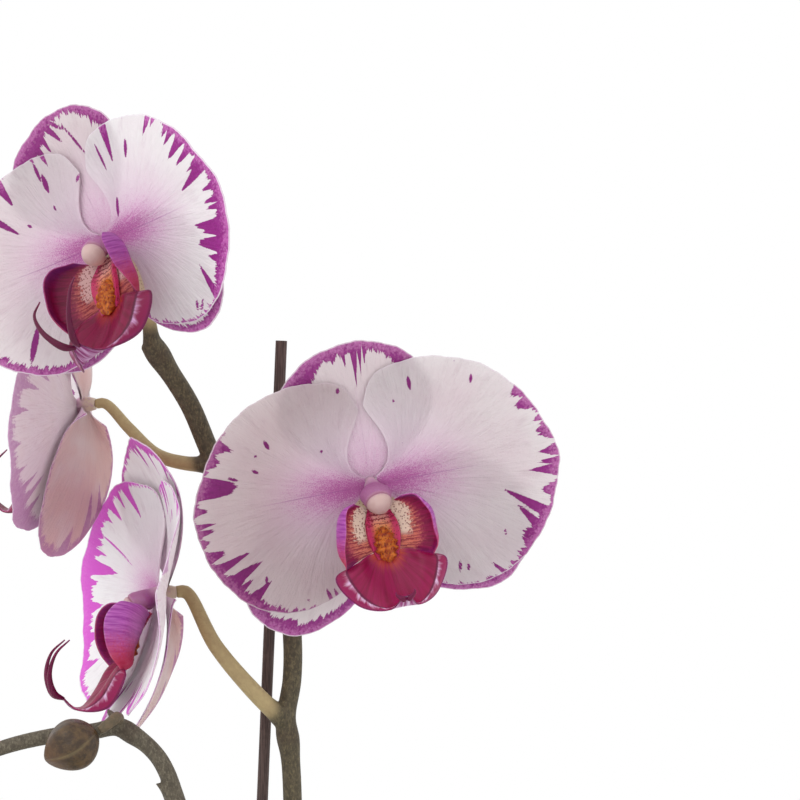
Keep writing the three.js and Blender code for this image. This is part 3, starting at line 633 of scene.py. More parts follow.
def groupWith(name, inputs):
    tree = bpy.data.node_groups.new(name, "GeometryNodeTree")
    tree.interface.new_socket("Geometry", in_out="INPUT", socket_type="NodeSocketGeometry")
    tree.interface.new_socket("Geometry", in_out="OUTPUT", socket_type="NodeSocketGeometry")
    for label, kind in inputs:
        tree.interface.new_socket(label, in_out="INPUT", socket_type=kind)
    return tree, tree.nodes.new("NodeGroupInput"), tree.nodes.new("NodeGroupOutput")


def applyTree(piece, tree, values):  # sets the inputs by their identifiers
    modifier = piece.modifiers.new(tree.name, "NODES")
    modifier.node_group = tree
    for item in tree.interface.items_tree:
        if item.in_out == "INPUT" and item.name in values:
            modifier[item.identifier] = values[item.name]
    return modifier


def newNodes(tree, family, *kinds):
    return [tree.nodes.new(family + kind) for kind in kinds]


def setUp(node, inputs, **settings):
    for key, value in settings.items():
        setattr(node, key, value)
    for key, value in inputs.items():
        node.inputs[key].default_value = value


def linkAll(tree, *rows):  # each row: a node and its output, a node and its input
    for source, out, target, into in rows:
        tree.links.new(source.outputs[out], target.inputs[into])


def chain(tree, *nodes):  # links the geometry of a row of nodes
    linkAll(tree, *((before, 0, after, 0) for before, after in zip(nodes, nodes[1:])))


def stemTree():
    tree, start, end = groupWith("orchidStems", [
        ("Sides", "NodeSocketInt"), ("Finish", "NodeSocketMaterial")])
    toCurve, setRadius, toMesh, shade, realize, finish, circle, thick = newNodes(
        tree, "GeometryNode", "MeshToCurve", "SetCurveRadius", "CurveToMesh", "SetShadeSmooth",
        "RealizeInstances", "SetMaterial", "CurvePrimitiveCircle", "InputNamedAttribute")
    setUp(thick, {"Name": "thick"}, data_type="FLOAT")
    setUp(circle, {"Radius": 1.0})
    setUp(toMesh, {"Fill Caps": True})
    linkAll(tree, (start, "Sides", circle, "Resolution"), (circle, 0, toMesh, "Profile Curve"),
            (thick, 0, setRadius, "Radius"), (thick, 0, toMesh, "Scale"),
            (start, "Finish", finish, "Material"))
    chain(tree, start, toCurve, setRadius, toMesh, shade, realize, finish, end)
    return tree


def stemPiece(name, lines, sides, look):  # lines: (points, radii)
    mesh = bpy.data.meshes.new(name)
    points, edges, thick = [], [], []
    for line, radii in lines:
        first = len(thick)
        points += (np.asarray(line) * metresPerMillimetre).tolist()
        thick += (np.broadcast_to(radii, len(line)) * metresPerMillimetre).tolist()
        edges += [(first + i, first + i + 1) for i in range(len(line) - 1)]
    mesh.from_pydata(points, edges, [])
    addField(mesh, "thick", thick)
    piece = inScene(name, mesh)
    applyTree(piece, stems, {"Sides": sides, "Finish": look})
    return piece


def fused(name, pieces, voxel, smoothing, look):  # overlapping closed shells grown into one skin
    piece = merged(name, pieces)
    remesh = piece.modifiers.new("grown", "REMESH")
    remesh.mode = "VOXEL"
    remesh.voxel_size = voxel * metresPerMillimetre
    remesh.use_smooth_shade = True
    smooth = piece.modifiers.new("soft", "SMOOTH")
    smooth.iterations = smoothing
    smooth.factor = 0.5
    piece = baked(piece)
    piece.data.materials.clear()
    piece.data.materials.append(look)
    return piece


def meshPoints(mesh):
    points = np.empty(len(mesh.vertices) * 3, np.float32)
    mesh.vertices.foreach_get("co", points)
    return points.reshape(-1, 3) / metresPerMillimetre


def nearest(points, line):  # distance to the nearest point of a line, in slices to spare memory
    return np.concatenate([
        np.sqrt(((part[:, None] - line[None]) ** 2).sum(-1).min(1)) for part in np.array_split(points, 24)])


stems = stemTree()


# Pot, bark mix, crown and roots

pot = dict(height=120, topRadius=62, baseRadius=45, wall=2.2, floor=3, rimHeight=14, rimLip=3.2,
           footRadius=33, footLift=2, drains=6, drainRadius=4, drainRing=38, sides=96)


def potOuter(z):
    return pot["baseRadius"] + (pot["topRadius"] - pot["baseRadius"]) * z / pot["height"]


def roundedProfile(corners, steps=6):  # corners: (radius, height, rounding)
    out = []
    for k, (r, z, rounding) in enumerate(corners):
        here = np.array([r, z], float)
        if not rounding:
            out.append(here)
            continue
        before = np.array(corners[k - 1][:2], float)
        after = np.array(corners[k + 1][:2], float)
        a = here + (before - here) / np.linalg.norm(before - here) * rounding
        b = here + (after - here) / np.linalg.norm(after - here) * rounding
        for t in np.linspace(0, 1, steps):
            out.append((1 - t) ** 2 * a + 2 * t * (1 - t) * here + t**2 * b)
    return np.array(out)


def lathePart(profile, sides, finish=0):
    angle = np.linspace(0, 2 * np.pi, sides, endpoint=False)
    rings = np.stack([profile[:, :1] * np.cos(angle), profile[:, :1] * np.sin(angle),
                      np.repeat(profile[:, 1:], sides, axis=1)], axis=-1)
    return turnedPart(rings, finish)


def buildPot():
    top, base, brim = pot["height"], pot["baseRadius"], pot["height"] - pot["rimHeight"]
    inside, low = -pot["wall"], pot["footLift"] + pot["floor"]
    profile = roundedProfile([
        (1, 0, 0), (pot["footRadius"], 0, 1.2), (pot["footRadius"] + 1.5, pot["footLift"], 0.6),
        (base - 1, pot["footLift"], 1.8), (potOuter(6), 6, 0), (potOuter(brim), brim, 1.2),
        (potOuter(brim) + pot["rimLip"], brim + 1.5, 1.2),
        (potOuter(top) + pot["rimLip"], top, 1.6), (potOuter(top) + inside, top, 1.2),
        (potOuter(low) + inside, low, 2), (1, low, 0)])
    shell = makePiece("potShell", [lathePart(profile, pot["sides"])], [potLook], 40)
    cutters = []
    for k in range(pot["drains"]):
        turn = 2 * math.pi * k / pot["drains"]
        x, y = pot["drainRing"] * math.cos(turn), pot["drainRing"] * math.sin(turn)
        cutters.append(turnedPart(tubeRings([(x, y, -4), (x, y, 3), (x, y, 10)], pot["drainRadius"], 24)))
    cutter = makePiece("drains", cutters, [potLook])
    cut = shell.modifiers.new("drains", "BOOLEAN")
    cut.object, cut.solver = cutter, "EXACT"
    shell = baked(shell)
    bpy.data.objects.remove(cutter)
    shell.data.set_sharp_from_angle(angle=math.radians(40))
    keep(shell, "pot", "pot")


bark = dict(top=106, spread=50, chips=300, size=(11, 8, 5), seed=7, rough=1.6, grain=260, cuts=5, gap=0.3,
            turnFrom=(-0.5, -0.5, 0), turnTo=(0.5, 0.5, 6.283), smallest=0.55, largest=1.25)


def barkTree():
    tree, start, end = groupWith("orchidBarkChips", [
        ("Chips", "NodeSocketFloat"), ("Size", "NodeSocketVector"), ("Rough", "NodeSocketFloat"),
        ("Seed", "NodeSocketInt"), ("Finish", "NodeSocketMaterial")])
    scatter, chip, place, realize, move, shade, finish = newNodes(
        tree, "GeometryNode", "DistributePointsOnFaces", "MeshCube", "InstanceOnPoints", "RealizeInstances",
        "SetPosition", "SetShadeSmooth", "SetMaterial")
    turn, big = newNodes(tree, "FunctionNode", "RandomValue", "RandomValue")
    ripple, centred, sized = newNodes(tree, "ShaderNode", "TexNoise", "VectorMath", "VectorMath")
    setUp(scatter, {}, distribute_method="RANDOM")
    setUp(chip, {"Vertices " + axis: bark["cuts"] for axis in "XYZ"})
    setUp(turn, {0: bark["turnFrom"], 1: bark["turnTo"]}, data_type="FLOAT_VECTOR")
    setUp(big, {2: bark["smallest"], 3: bark["largest"]}, data_type="FLOAT")
    setUp(ripple, {"Scale": bark["grain"], "Detail": 3})
    setUp(centred, {1: (0.5, 0.5, 0.5)}, operation="SUBTRACT")
    setUp(sized, {}, operation="SCALE")
    setUp(shade, {"Shade Smooth": False})
    linkAll(tree, (start, "Chips", scatter, "Density"), (start, "Seed", scatter, "Seed"),
            (start, "Seed", turn, "Seed"), (start, "Size", chip, "Size"), (start, "Rough", sized, "Scale"),
            (start, "Finish", finish, "Material"), (chip, 0, place, "Instance"),
            (turn, 0, place, "Rotation"), (big, 1, place, "Scale"), (ripple, "Color", centred, 0),
            (centred, 0, sized, 0), (sized, 0, move, "Offset"))
    chain(tree, start, scatter, place, realize, move, shade, finish, end)
    return tree


def buildBark():
    low = pot["footLift"] + pot["floor"] + bark["gap"]
    inset = pot["wall"] + bark["gap"]
    discArea = math.pi * (bark["spread"] * metresPerMillimetre) ** 2
    disc = makePiece("barkDisc", [bladePart(np.array([[
        (bark["spread"] * r * math.cos(a), bark["spread"] * r * math.sin(a), bark["top"] + 1.5)
        for a in np.linspace(0, 2 * math.pi, 49)] for r in (0.02, 0.5, 1.0)]), 0.01)], [barkLook])
    applyTree(disc, barkTree(), {
        "Chips": bark["chips"] / (2 * discArea), "Seed": bark["seed"], "Finish": barkLook,
        "Size": tuple(s * metresPerMillimetre for s in bark["size"]),
        "Rough": bark["rough"] * metresPerMillimetre})
    profile = np.array([(1, low), (potOuter(low) - inset, low), (potOuter(bark["top"]) - inset, bark["top"]),
                        (26, bark["top"] + 1), (1, bark["top"] + 1)], float)
    fill = makePiece("barkFill", [lathePart(profile, 64)], [barkLook], 40)
    mix = merged("barkMix", [fill, disc])
    mix.data.materials.append(barkLook)
    keep(mix, "bark", "bark_mix")


crown = dict(radius=8, bottom=92, top=137, voxel=0.7, smoothing=3, widest=0.35, narrow=0.4, rings=7,
             ringSize=0.03)
roots = [
    dict(points=[(3, 5, 110), (12, 22, 121), (18, 38, 116), (21, 45, 98)], radius=2.6),
    dict(points=[(-1, 6, 113), (-8, 26, 124), (-15, 41, 117), (-20, 46, 97)], radius=2.4),
    dict(points=[(-5, -3, 106), (-19, -20, 116), (-28, -30, 111), (-33, -33, 96)], radius=2.7),
    dict(points=[(5, -2, 106), (22, -18, 116), (31, -33, 112), (34, -38, 96)], radius=2.5),
    dict(points=[(1, 8, 113), (2, 34, 131), (0, 62, 131), (-4, 76, 116), (-6, 79, 98)], radius=2.3),
]


def crownWidth(t):
    return crown["radius"] * np.sqrt(1 - crown["narrow"] * np.abs(t - crown["widest"]))


rootForm = dict(narrow=0.35, swell=0.05, swells=9, roundFrom=0.97, tipFrom=12, tipTo=3)


def buildCrown():
    stem = route([(0, 0, crown["bottom"]), (0, 0, 115), (0, 0, crown["top"])], 1.5)
    t = np.linspace(0, 1, len(stem))
    lines = [(stem, crownWidth(t) * (1 + crown["ringSize"] * np.cos(2 * np.pi * t * crown["rings"])))]
    ends = []
    for root in roots:
        line = route(root["points"], 1.2)
        t = np.linspace(0, 1, len(line))
        swell = 1 + rootForm["swell"] * np.sin(rootForm["swells"] * t + root["radius"] * 5)
        pastRound = ((t - rootForm["roundFrom"]) / (1 - rootForm["roundFrom"])).clip(0)
        tipRound = np.sqrt(np.clip(1 - pastRound**2, 0.05, 1))
        lines.append((line, root["radius"] * (1 - rootForm["narrow"] * t**3) * swell * tipRound))
        ends.append(line[-1])
    grown = stemPiece("crownLines", lines, 24, rootLook)
    piece = fused("crownAndRoots", [grown], crown["voxel"], crown["smoothing"], rootLook)
    points = meshPoints(piece.data)
    toTip = np.min([np.linalg.norm(points - end, axis=1) for end in ends], axis=0)
    addField(piece.data, "tip", smoothStep(toTip, rootForm["tipFrom"], rootForm["tipTo"]))
    keep(piece, "crown", "crown_and_roots")


# Leaves

leaves = [
    dict(heading=22, base=117, length=168, width=66, rise=28, droop=76),
    dict(heading=196, base=120, length=182, width=70, rise=31, droop=80),
    dict(heading=14, base=123.5, length=186, width=72, rise=42, droop=60),
    dict(heading=189, base=127, length=176, width=68, rise=47, droop=50),
    dict(heading=25, base=130.5, length=150, width=60, rise=58, droop=28),
    dict(heading=199, base=134, length=118, width=46, rise=66, droop=14),
]
leafForm = dict(
    thick=2.0, rim=0.9, rows=90, columns=28, seat=0.3, ripple=0.7, ripples=7, droopLate=1.2, trough=0.34,
    troughPower=1.3, keelRound=0.006, keelDrop=0.077, flatten=0.55, seedStep=3.7,
    widths=[(0, 0.24), (0.12, 0.42), (0.35, 0.85), (0.6, 1), (0.82, 0.8), (0.94, 0.45), (1, 0.12)])


def buildLeaf(number, leaf):
    rows, columns = leafForm["rows"], leafForm["columns"]
    t = np.linspace(0, 1, rows + 1)
    s = np.linspace(-1, 1, columns + 1)[None]
    angle = np.radians(leaf["rise"] - (leaf["rise"] + leaf["droop"]) * t ** leafForm["droopLate"])
    seat = crownWidth((leaf["base"] - crown["bottom"]) / (crown["top"] - crown["bottom"]))
    step = leaf["length"] / rows
    along = seat + leafForm["seat"] + leafForm["thick"] / 2 * math.sin(math.radians(leaf["rise"]))
    x = along + np.r_[0, np.cumsum(np.cos(angle[:-1])) * step]
    z = leaf["base"] + np.r_[0, np.cumsum(np.sin(angle[:-1])) * step]
    t, x, z, angle = (values[:, None] for values in (t, x, z, angle))
    half = leaf["width"] / 2 * smoothAt(leafForm["widths"], t)
    keel = (np.sqrt(s**2 + leafForm["keelRound"]) - leafForm["keelDrop"]) ** leafForm["troughPower"]
    lift = leafForm["trough"] * keel * half * (1 - leafForm["flatten"] * t)
    lift = lift + leafForm["ripple"] * np.sin(leafForm["ripples"] * t + number) * s**2 * t
    across = s * half
    fore = x - lift * np.sin(angle)
    turn = math.radians(leaf["heading"])
    grid = np.stack([fore * math.cos(turn) - across * math.sin(turn),
                     fore * math.sin(turn) + across * math.cos(turn), z + lift * np.cos(angle)], axis=-1)
    thick = leafForm["rim"] + (leafForm["thick"] - leafForm["rim"]) * (1 - s**2) * (1 - t**6)
    fields = {"across": s + 0 * t, "along": t + 0 * s, "seed": 0 * (t + s) + number * leafForm["seedStep"]}
    part = bladePart(grid, thick, 0, fields)
    part["fields"]["back"] = lowerSide(part)
    keep(makePiece(f"strapLeaf{number}", [part], [leafLook], 70), "leaf", f"leaf_{number}")


def lowerSide(part):  # 1 on whichever side of a blade faces down
    points, back = part["points"], part["fields"]["back"]
    half = len(points) // 2
    frontIsTop = points[:half, 2].mean() > points[half:, 2].mean()
    return back if frontIsTop else 1 - back


# Spikes with their stalks, nodes and bracts

spikeForm = dict(radius=2.85, voxel=0.55, smoothing=3, step=1.2, sides=24, nodeSwell=0.22, nodeReach=4.5,
                 freshFrom=0.5, freshTo=7, ringOut=3.2, ringWide=0.9, ringDark=0.6)
stalkForm = dict(radius=1.7, stout={3: 1.2}, start=1.4, narrow=0.45, foot=0.4, footReach=0.07)
spikeLine = [
    (5.4, -9.5, 117), (6.4, -9.7, 150), (8.6, -6.6, 220), (9.5, -3.4, 300), (9.5, -3, 360),
    (8.7, -3, 375), (7.5, -3, 385), (9.3, -3, 397), (9.5, -3, 409), (8.1, -3.5, 423),
    (5, -4, 434), (0.2, -4, 443), (-6.6, -3, 452.2), (-14.4, -1, 463.8), (-22, -2, 481.3),
    (-29.4, -6, 493.5), (-33.8, -9, 500.5),
]
pedicels = {
    1: [(-33, -8.6, 499), (-34.2, -11, 508), (-35.2, -18, 519), (-37.4, -28, 527)],
    2: [(-16, -1, 463), (-24, 3.2, 463.4), (-33, 10.6, 466), (-42, 19, 474)],
    3: [(6.6, -4, 385.6), (0.6, -8, 391), (-13.6, -9.5, 407.6)],
    4: [(1, -5, 441.6), (9, -8.6, 451), (19.4, -14, 458.6)],
}
spikeBracts = [
    dict(at=(6.6, -9.9, 150), along=(0.02, 0.02, 1), side=(1, -1, 0), length=13),
    dict(at=(8.5, -6.7, 218), along=(0.02, 0.04, 1), side=(-1, -0.4, 0), length=12),
    dict(at=(9.5, -3.6, 292), along=(0, 0.02, 1), side=(-1, -0.5, 0), length=11),
    dict(at=(8.2, -3, 379.5), along=(-0.1, 0, 1), side=(-1, -0.4, 0), length=7),
    dict(at=(-12, -1.7, 460.2), along=(-0.6, 0.1, 0.8), side=(-0.4, 0.2, -1), length=6),
    dict(at=(-31.4, -7.6, 496.6), along=(-0.5, -0.3, 0.8), side=(0.8, 0, 0.4), length=8, radius=2.35),
]
sideSpikeRadius = 2.95
sideSpikeLine = [
    (-1.2, -10.9, 117), (-1.6, -14.6, 146), (-9, -25, 230), (-20, -34, 310), (-24.4, -38, 363),
    (-28.1, -40, 374.2), (-32, -40, 379.3), (-37, -40, 383.1), (-41.5, -40, 385.5),
    (-48.4, -40, 384.3), (-61.4, -40, 382.8), (-76.6, -40, 379.1), (-95, -39, 371),
    (-112, -37.5, 360), (-121, -36.5, 351),
]
budStalks = [
    [(-41.3, -41, 386.6), (-41.4, -46, 388.8), (-43.6, -49.6, 387.2), (-46.3, -50.4, 385.1)],
    [(-78.6, -39.4, 378.6), (-81, -36, 377.4), (-83.7, -32.2, 374.8)],
    [(-96.6, -39.4, 370), (-98.4, -43, 368.8), (-100.4, -45.1, 367)],
]
sideBracts = [
    dict(at=(-1.6, -14.4, 144), along=(-0.04, -0.06, 1), side=(-1, -0.6, 0), length=14),
    dict(at=(-10.4, -23.2, 224), along=(-0.1, -0.12, 1), side=(1, -0.6, 0), length=13),
    dict(at=(-19.6, -33.6, 306), along=(-0.08, -0.1, 1), side=(-1, 0, 0.2), length=12),
    dict(at=(-24.3, -38, 360.6), along=(-0.12, -0.1, 1), side=(-1, -0.3, 0), length=9),
    dict(at=(-38.6, -40, 384.2), along=(-0.8, 0, 0.3), side=(-0.2, -0.5, 1), length=8),
]
bractForm = dict(stations=[(0, 75, -0.3), (0.4, 60, -0.15), (0.75, 36, 0.7), (1, 6, 1.9)], thick=0.8)


def bractPart(bract, radius):  # a short pointed blade bent round the stem
    axis = unit(np.array(bract["along"], float))
    side = np.array(bract["side"], float)
    out = unit(side - axis * (axis @ side))
    cross = np.cross(axis, out)
    reach = bract.get("radius", radius)
    stations = []
    for t, spread, stand in bractForm["stations"]:
        angles = np.radians(spread) * np.linspace(-1, 1, 7)[:, None]
        stations.append(np.array(bract["at"]) + axis * t * bract["length"]
                        + (reach + stand) * (np.cos(angles) * out + np.sin(angles) * cross))
    grid = np.transpose(net(stations, 16, 12), (1, 0, 2))
    return bladePart(grid, bractForm["thick"])


def nodeSwelling(line, marks):  # how much a stem swells near the marks along it
    swell = np.zeros(len(line))
    for mark in marks:
        away = np.linalg.norm(line - np.array(mark), axis=1)
        swell = np.maximum(swell, np.exp(-((away / spikeForm["nodeReach"]) ** 2)))
    return swell


def dressStem(piece, mainLine, youngLines, marks):  # which skin is tender, and the rings at the nodes
    points = meshPoints(piece.data)
    toMain = nearest(points, mainLine[::2])
    toYoung = np.min([nearest(points, line) for line in youngLines], axis=0)
    fresh = smoothStep(toMain - toYoung, spikeForm["freshFrom"], spikeForm["freshTo"])
    ring = np.zeros(len(points))
    for mark in marks:
        away = np.linalg.norm(points - np.array(mark), axis=1) - spikeForm["ringOut"]
        ring = np.maximum(ring, np.exp(-((away / spikeForm["ringWide"]) ** 2)))
    addField(piece.data, "fresh", fresh)
    addField(piece.data, "ring", ring * (1 - fresh) * spikeForm["ringDark"])


def buildStem(name, node, main, taper, stalks, skipped, bracts, radius, look):  # a spike grown in one
    marks = [bract["at"] for bract in bracts]
    thick = taper * (1 + spikeForm["nodeSwell"] * nodeSwelling(main, marks))
    pieces = [stemPiece(name + "Lines", [(main, thick), *stalks], spikeForm["sides"], look),
              makePiece(name + "Bracts", [bractPart(bract, radius) for bract in bracts], [look])]
    piece = fused(name, pieces, spikeForm["voxel"], spikeForm["smoothing"], look)
    dressStem(piece, main, [line[skipped:] for line, _ in stalks], marks)
    keep(piece, "stem", node)


def buildSpike():
    main = route(spikeLine, spikeForm["step"])
    t = np.linspace(0, 1, len(main))
    stalks = []
    for number, points in pedicels.items():
        bloom = blooms[number]
        line = route([*points, behind(bloom, hubBack + 3), behind(bloom, hubBack)], 1.0)
        k = np.linspace(0, 1, len(line))
        foot = stalkForm["foot"] * np.exp(-((k / stalkForm["footReach"]) ** 2))
        radius = stalkForm["radius"] * stalkForm["stout"].get(number, 1)
        stalks.append((line, radius * (stalkForm["start"] - stalkForm["narrow"] * k + foot)))
    taper = spikeForm["radius"] * (1 + 0.1 * t**3)
    radius = spikeForm["radius"]
    buildStem("flowerSpike", "flower_spike", main, taper, stalks, 6, spikeBracts, radius, spikeLook)


def buildSideSpike():
    main = route(sideSpikeLine, spikeForm["step"])
    t = np.linspace(0, 1, len(main))
    stalks = []
    for points in budStalks:
        line = route(points, 0.8)
        stalks.append((line, np.linspace(2, 1.5, len(line))))
    taper = sideSpikeRadius * (1 - 0.1 * t - 0.42 * t**6)
    buildStem("sideSpike", "side_spike", main, taper, stalks, 2, sideBracts, sideSpikeRadius, sideSpikeLook)


buds = [
    dict(base=(-47, -50.4, 384.8), aim=(-0.88, 0.02, -0.47), length=17.5, turn=0.4),
    dict(base=(-84.2, -31.8, 374.2), aim=(-0.75, 0.5, -0.42), length=14, turn=1.5),
    dict(base=(-101, -45.4, 366.6), aim=(-0.8, -0.45, -0.4), length=11, turn=2.2),
    dict(base=(-121.4, -36.4, 350.5), aim=(-0.68, 0.08, -0.73), length=8.5, turn=0.9),
]
budForm = dict(width=0.43, seams=3, sides=96, rows=64, groove=0.045, grooveWide=0.028, sway=0.08, lobes=0.03,
               tip=0.004, lowest=0.85, plump=0.62)


def buildBud(number, bud):
    base, way = np.array(bud["base"], float), unit(np.array(bud["aim"], float))
    t = np.linspace(budForm["tip"], 1 - budForm["tip"], budForm["rows"])
    radius = bud["length"] * budForm["width"] * np.sin(np.pi * t ** budForm["lowest"]) ** budForm["plump"]
    rings = tubeRings(base + way * (t * bud["length"])[:, None], radius, budForm["sides"])
    t = t[:, None]
    angle = np.linspace(0, 2 * np.pi, budForm["sides"], endpoint=False)[None]
    sector = angle * budForm["seams"] / (2 * np.pi) + bud["turn"] + budForm["sway"] * np.sin(3 * t)
    wedge = np.abs((sector % 1) - 0.5)
    seam = np.exp(-((wedge / budForm["grooveWide"]) ** 2))
    centre = rings.mean(axis=1, keepdims=True)
    shape = (1 - budForm["groove"] * seam + budForm["lobes"] * np.cos(2 * np.pi * 2 * wedge))[..., None]
    rings = centre + (rings - centre) * shape
    part = turnedPart(rings, 0, {"seam": seam * np.sin(np.pi * t) ** 0.4, "along": t})
    keep(makePiece(f"bud{number}", [part], [budLook], 80), "bud", f"bud_{number}")


# Stake and clip

stake = dict(radius=1.75, foot=np.array((-14.6, 15, 16)), top=np.array((6, -0.4, 501)), swell=0.012,
             swells=40, rows=160)
clip = dict(height=424, wall=1.2, band=4, spikeAt=(8, -3.5), nearRoom=0.4, farRoom=1, corners=0.5)


def buildStake():
    foot, top = stake["foot"], stake["top"]
    t = np.linspace(0, 1, stake["rows"])
    radii = stake["radius"] * (1 + stake["swell"] * np.sin(stake["swells"] * t))
    piece = baked(stemPiece("stakeRod", [(foot + (top - foot) * t[:, None], radii)], 32, stakeLook))
    piece.data.set_sharp_from_angle(angle=math.radians(50))
    keep(piece, "stake", "stake")


def buildClip():
    foot, top = stake["foot"], stake["top"]
    at = foot + (top - foot) * (clip["height"] - foot[2]) / (top[2] - foot[2])
    far = np.array(clip["spikeAt"]) - at[:2]
    apart = np.linalg.norm(far)
    heading = math.atan2(far[1], far[0])
    near = stake["radius"] + clip["nearRoom"] + clip["wall"] / 2
    wide = spikeForm["radius"] + clip["farRoom"] + clip["wall"] / 2
    lean = math.asin((wide - near) / apart)
    loop = [(near * math.cos(a), near * math.sin(a))
            for a in np.linspace(math.pi / 2 + lean, 1.5 * math.pi - lean, 24)]
    loop += [(apart + wide * math.cos(a), wide * math.sin(a))
             for a in np.linspace(-math.pi / 2 - lean, math.pi / 2 + lean, 24)]
    loop = np.array(loop)
    loop = loop @ np.array([[math.cos(heading), math.sin(heading)], [-math.sin(heading), math.cos(heading)]])
    flow = unit(np.roll(loop, -1, axis=0) - np.roll(loop, 1, axis=0))
    side = np.stack([flow[:, 1], -flow[:, 0]], axis=1)
    bend = np.linspace(0, 2 * np.pi, 20, endpoint=False)
    section = np.stack([size / 2 * np.sign(wave) * np.abs(wave) ** clip["corners"] for size, wave in (
        (clip["wall"], np.cos(bend)), (clip["band"], np.sin(bend)))], axis=1)
    rings = np.empty((len(loop), len(bend), 3))
    rings[..., :2] = at[:2] + loop[:, None] + side[:, None] * section[None, :, :1]
    rings[..., 2] = clip["height"] + section[None, :, 1]
    index = np.arange(len(loop) * len(bend)).reshape(len(loop), len(bend))
    onward, around = np.roll(index, -1, axis=0), np.roll(index, -1, axis=1)
    faces = np.stack([index, around, np.roll(onward, -1, axis=1), onward], axis=-1).reshape(-1, 4)
    points = rings.reshape(-1, 3)
    band = {"points": points, "faces": outward(points, faces), "finish": 0, "fields": {}}
    keep(makePiece("stakeClip", [band], [clipLook], 50), "clip", "clip")


# Blooms. A flat part's outline is its reach by angle from its axis.

hubBack = 5.2
markSeat = 4.6
twistEdge = 20
petalReach = [
    (-77, 30.4), (-63, 38.4), (-48, 45.8), (-29, 50.6), (-10, 52.3), (0, 52.8),
    (14.5, 50.2), (34, 46.5), (53, 41.6), (72, 36.1), (87, 31.1), (95, 23.8),
]
dorsalReach = [
    (-65, 7.6), (-56, 24), (-43, 33.6), (-28.5, 38.4), (-11.5, 40.9), (0, 41.3),
    (11.5, 41), (28.5, 39.6), (43, 36), (56, 27), (65, 8.6),
]
lateralReach = [
    (-63, 7.6), (-55, 19), (-42.5, 29.3), (-28.5, 39.6), (-14.5, 47.3), (0, 51.2),
    (14.5, 50.3), (29, 42), (43, 31.3), (56, 21), (63, 7.6),
]
petalShape = dict(reach=petalReach, seat=2.9, claw=2.5, narrow=0.62, fold=0.9, rows=38, columns=150)
sepalShape = dict(seat=2.6, narrow=0, rows=30, columns=88)
lateralShape = dict(sepalShape, reach=lateralReach, claw=2.2, fold=0.25)
flatParts = {
    "petal_right": dict(petalShape, side=1),
    "petal_left": dict(petalShape, side=-1),
    "dorsal_sepal": dict(sepalShape, reach=dorsalReach, side=1, claw=2.8, fold=0.3),
    "lateral_sepal_right": dict(lateralShape, side=-1),
    "lateral_sepal_left": dict(lateralShape, side=1),
}

# Where each bloom is, how it's turned, how it bends, and then five values in the order of flatParts
# The shade values paint shade on each flat part, and paint light where negative; the value after curl paints
# shade over the whole lip.
blooms = {
    1: dict(
        at=(-44.8, -40, 530.4), yaw=-38, pitch=8, roll=26, lip=1.12, curl=1, wine=0.7,
        bend=dict(right=3, left=14, up=1, down=1, rightBack=0, bulge=0),
        size=(0.93, 0.92, 0.965, 0.86, 0.8), axis=(-10, 172, 90.5, -46, 208),
        level=(0.7, 0.7, -0.7, -2, -3.3), twist=(0, 0, 0, 0, 0), shade=(0.04, 0.36, 0.44, 0.2, 0.2)),
    2: dict(
        at=(-58, 27, 481.2), yaw=-103, pitch=4, roll=2, lip=1, curl=1, wine=0.4,
        bend=dict(right=4.5, left=14, up=3, down=15, rightBack=0, bulge=2),
        size=(0.92, 1, 1, 0.88, 0.8), axis=(-16, 180, 91, -72, 246),
        level=(0.7, 0.7, -1.2, -2, -1.2), twist=(0, 0, 0, 0.24, 0), shade=(0.22, 0.22, 0.22, 0.22, 0.22)),
    3: dict(
        at=(-31.4, -3, 423.6), yaw=-80, pitch=3, roll=3, lip=1.08, curl=1, wine=0.0,
        bend=dict(right=4, left=11.6, up=7, down=24, rightBack=8, bulge=5.5),
        size=(1, 1, 1.1, 0.84, 0.76), axis=(-2, 178, 91, -64, 248),
        level=(0.7, 0.7, -1.7, -1.7, -1), twist=(0, 0, 0, 0.28, 0), shade=(-0.8, -0.8, -0.4, -0.4, -0.4)),
    4: dict(
        at=(33.7, -32, 457.6), yaw=14, pitch=12, roll=10.7, lip=1, curl=0.15, wine=0.0,
        bend=dict(right=1.5, left=1.5, up=-1, down=-1, rightBack=0, bulge=0),
        size=(1.04, 0.99, 1, 1.01, 0.985), axis=(0, 180, 91, -32, 222),
        level=(0.7, 0.7, -0.7, -2, -3.3), twist=(0, 0, 0, 0, 0), shade=(0.36, 0.7, 0.42, 0.3, 0.3)),
}

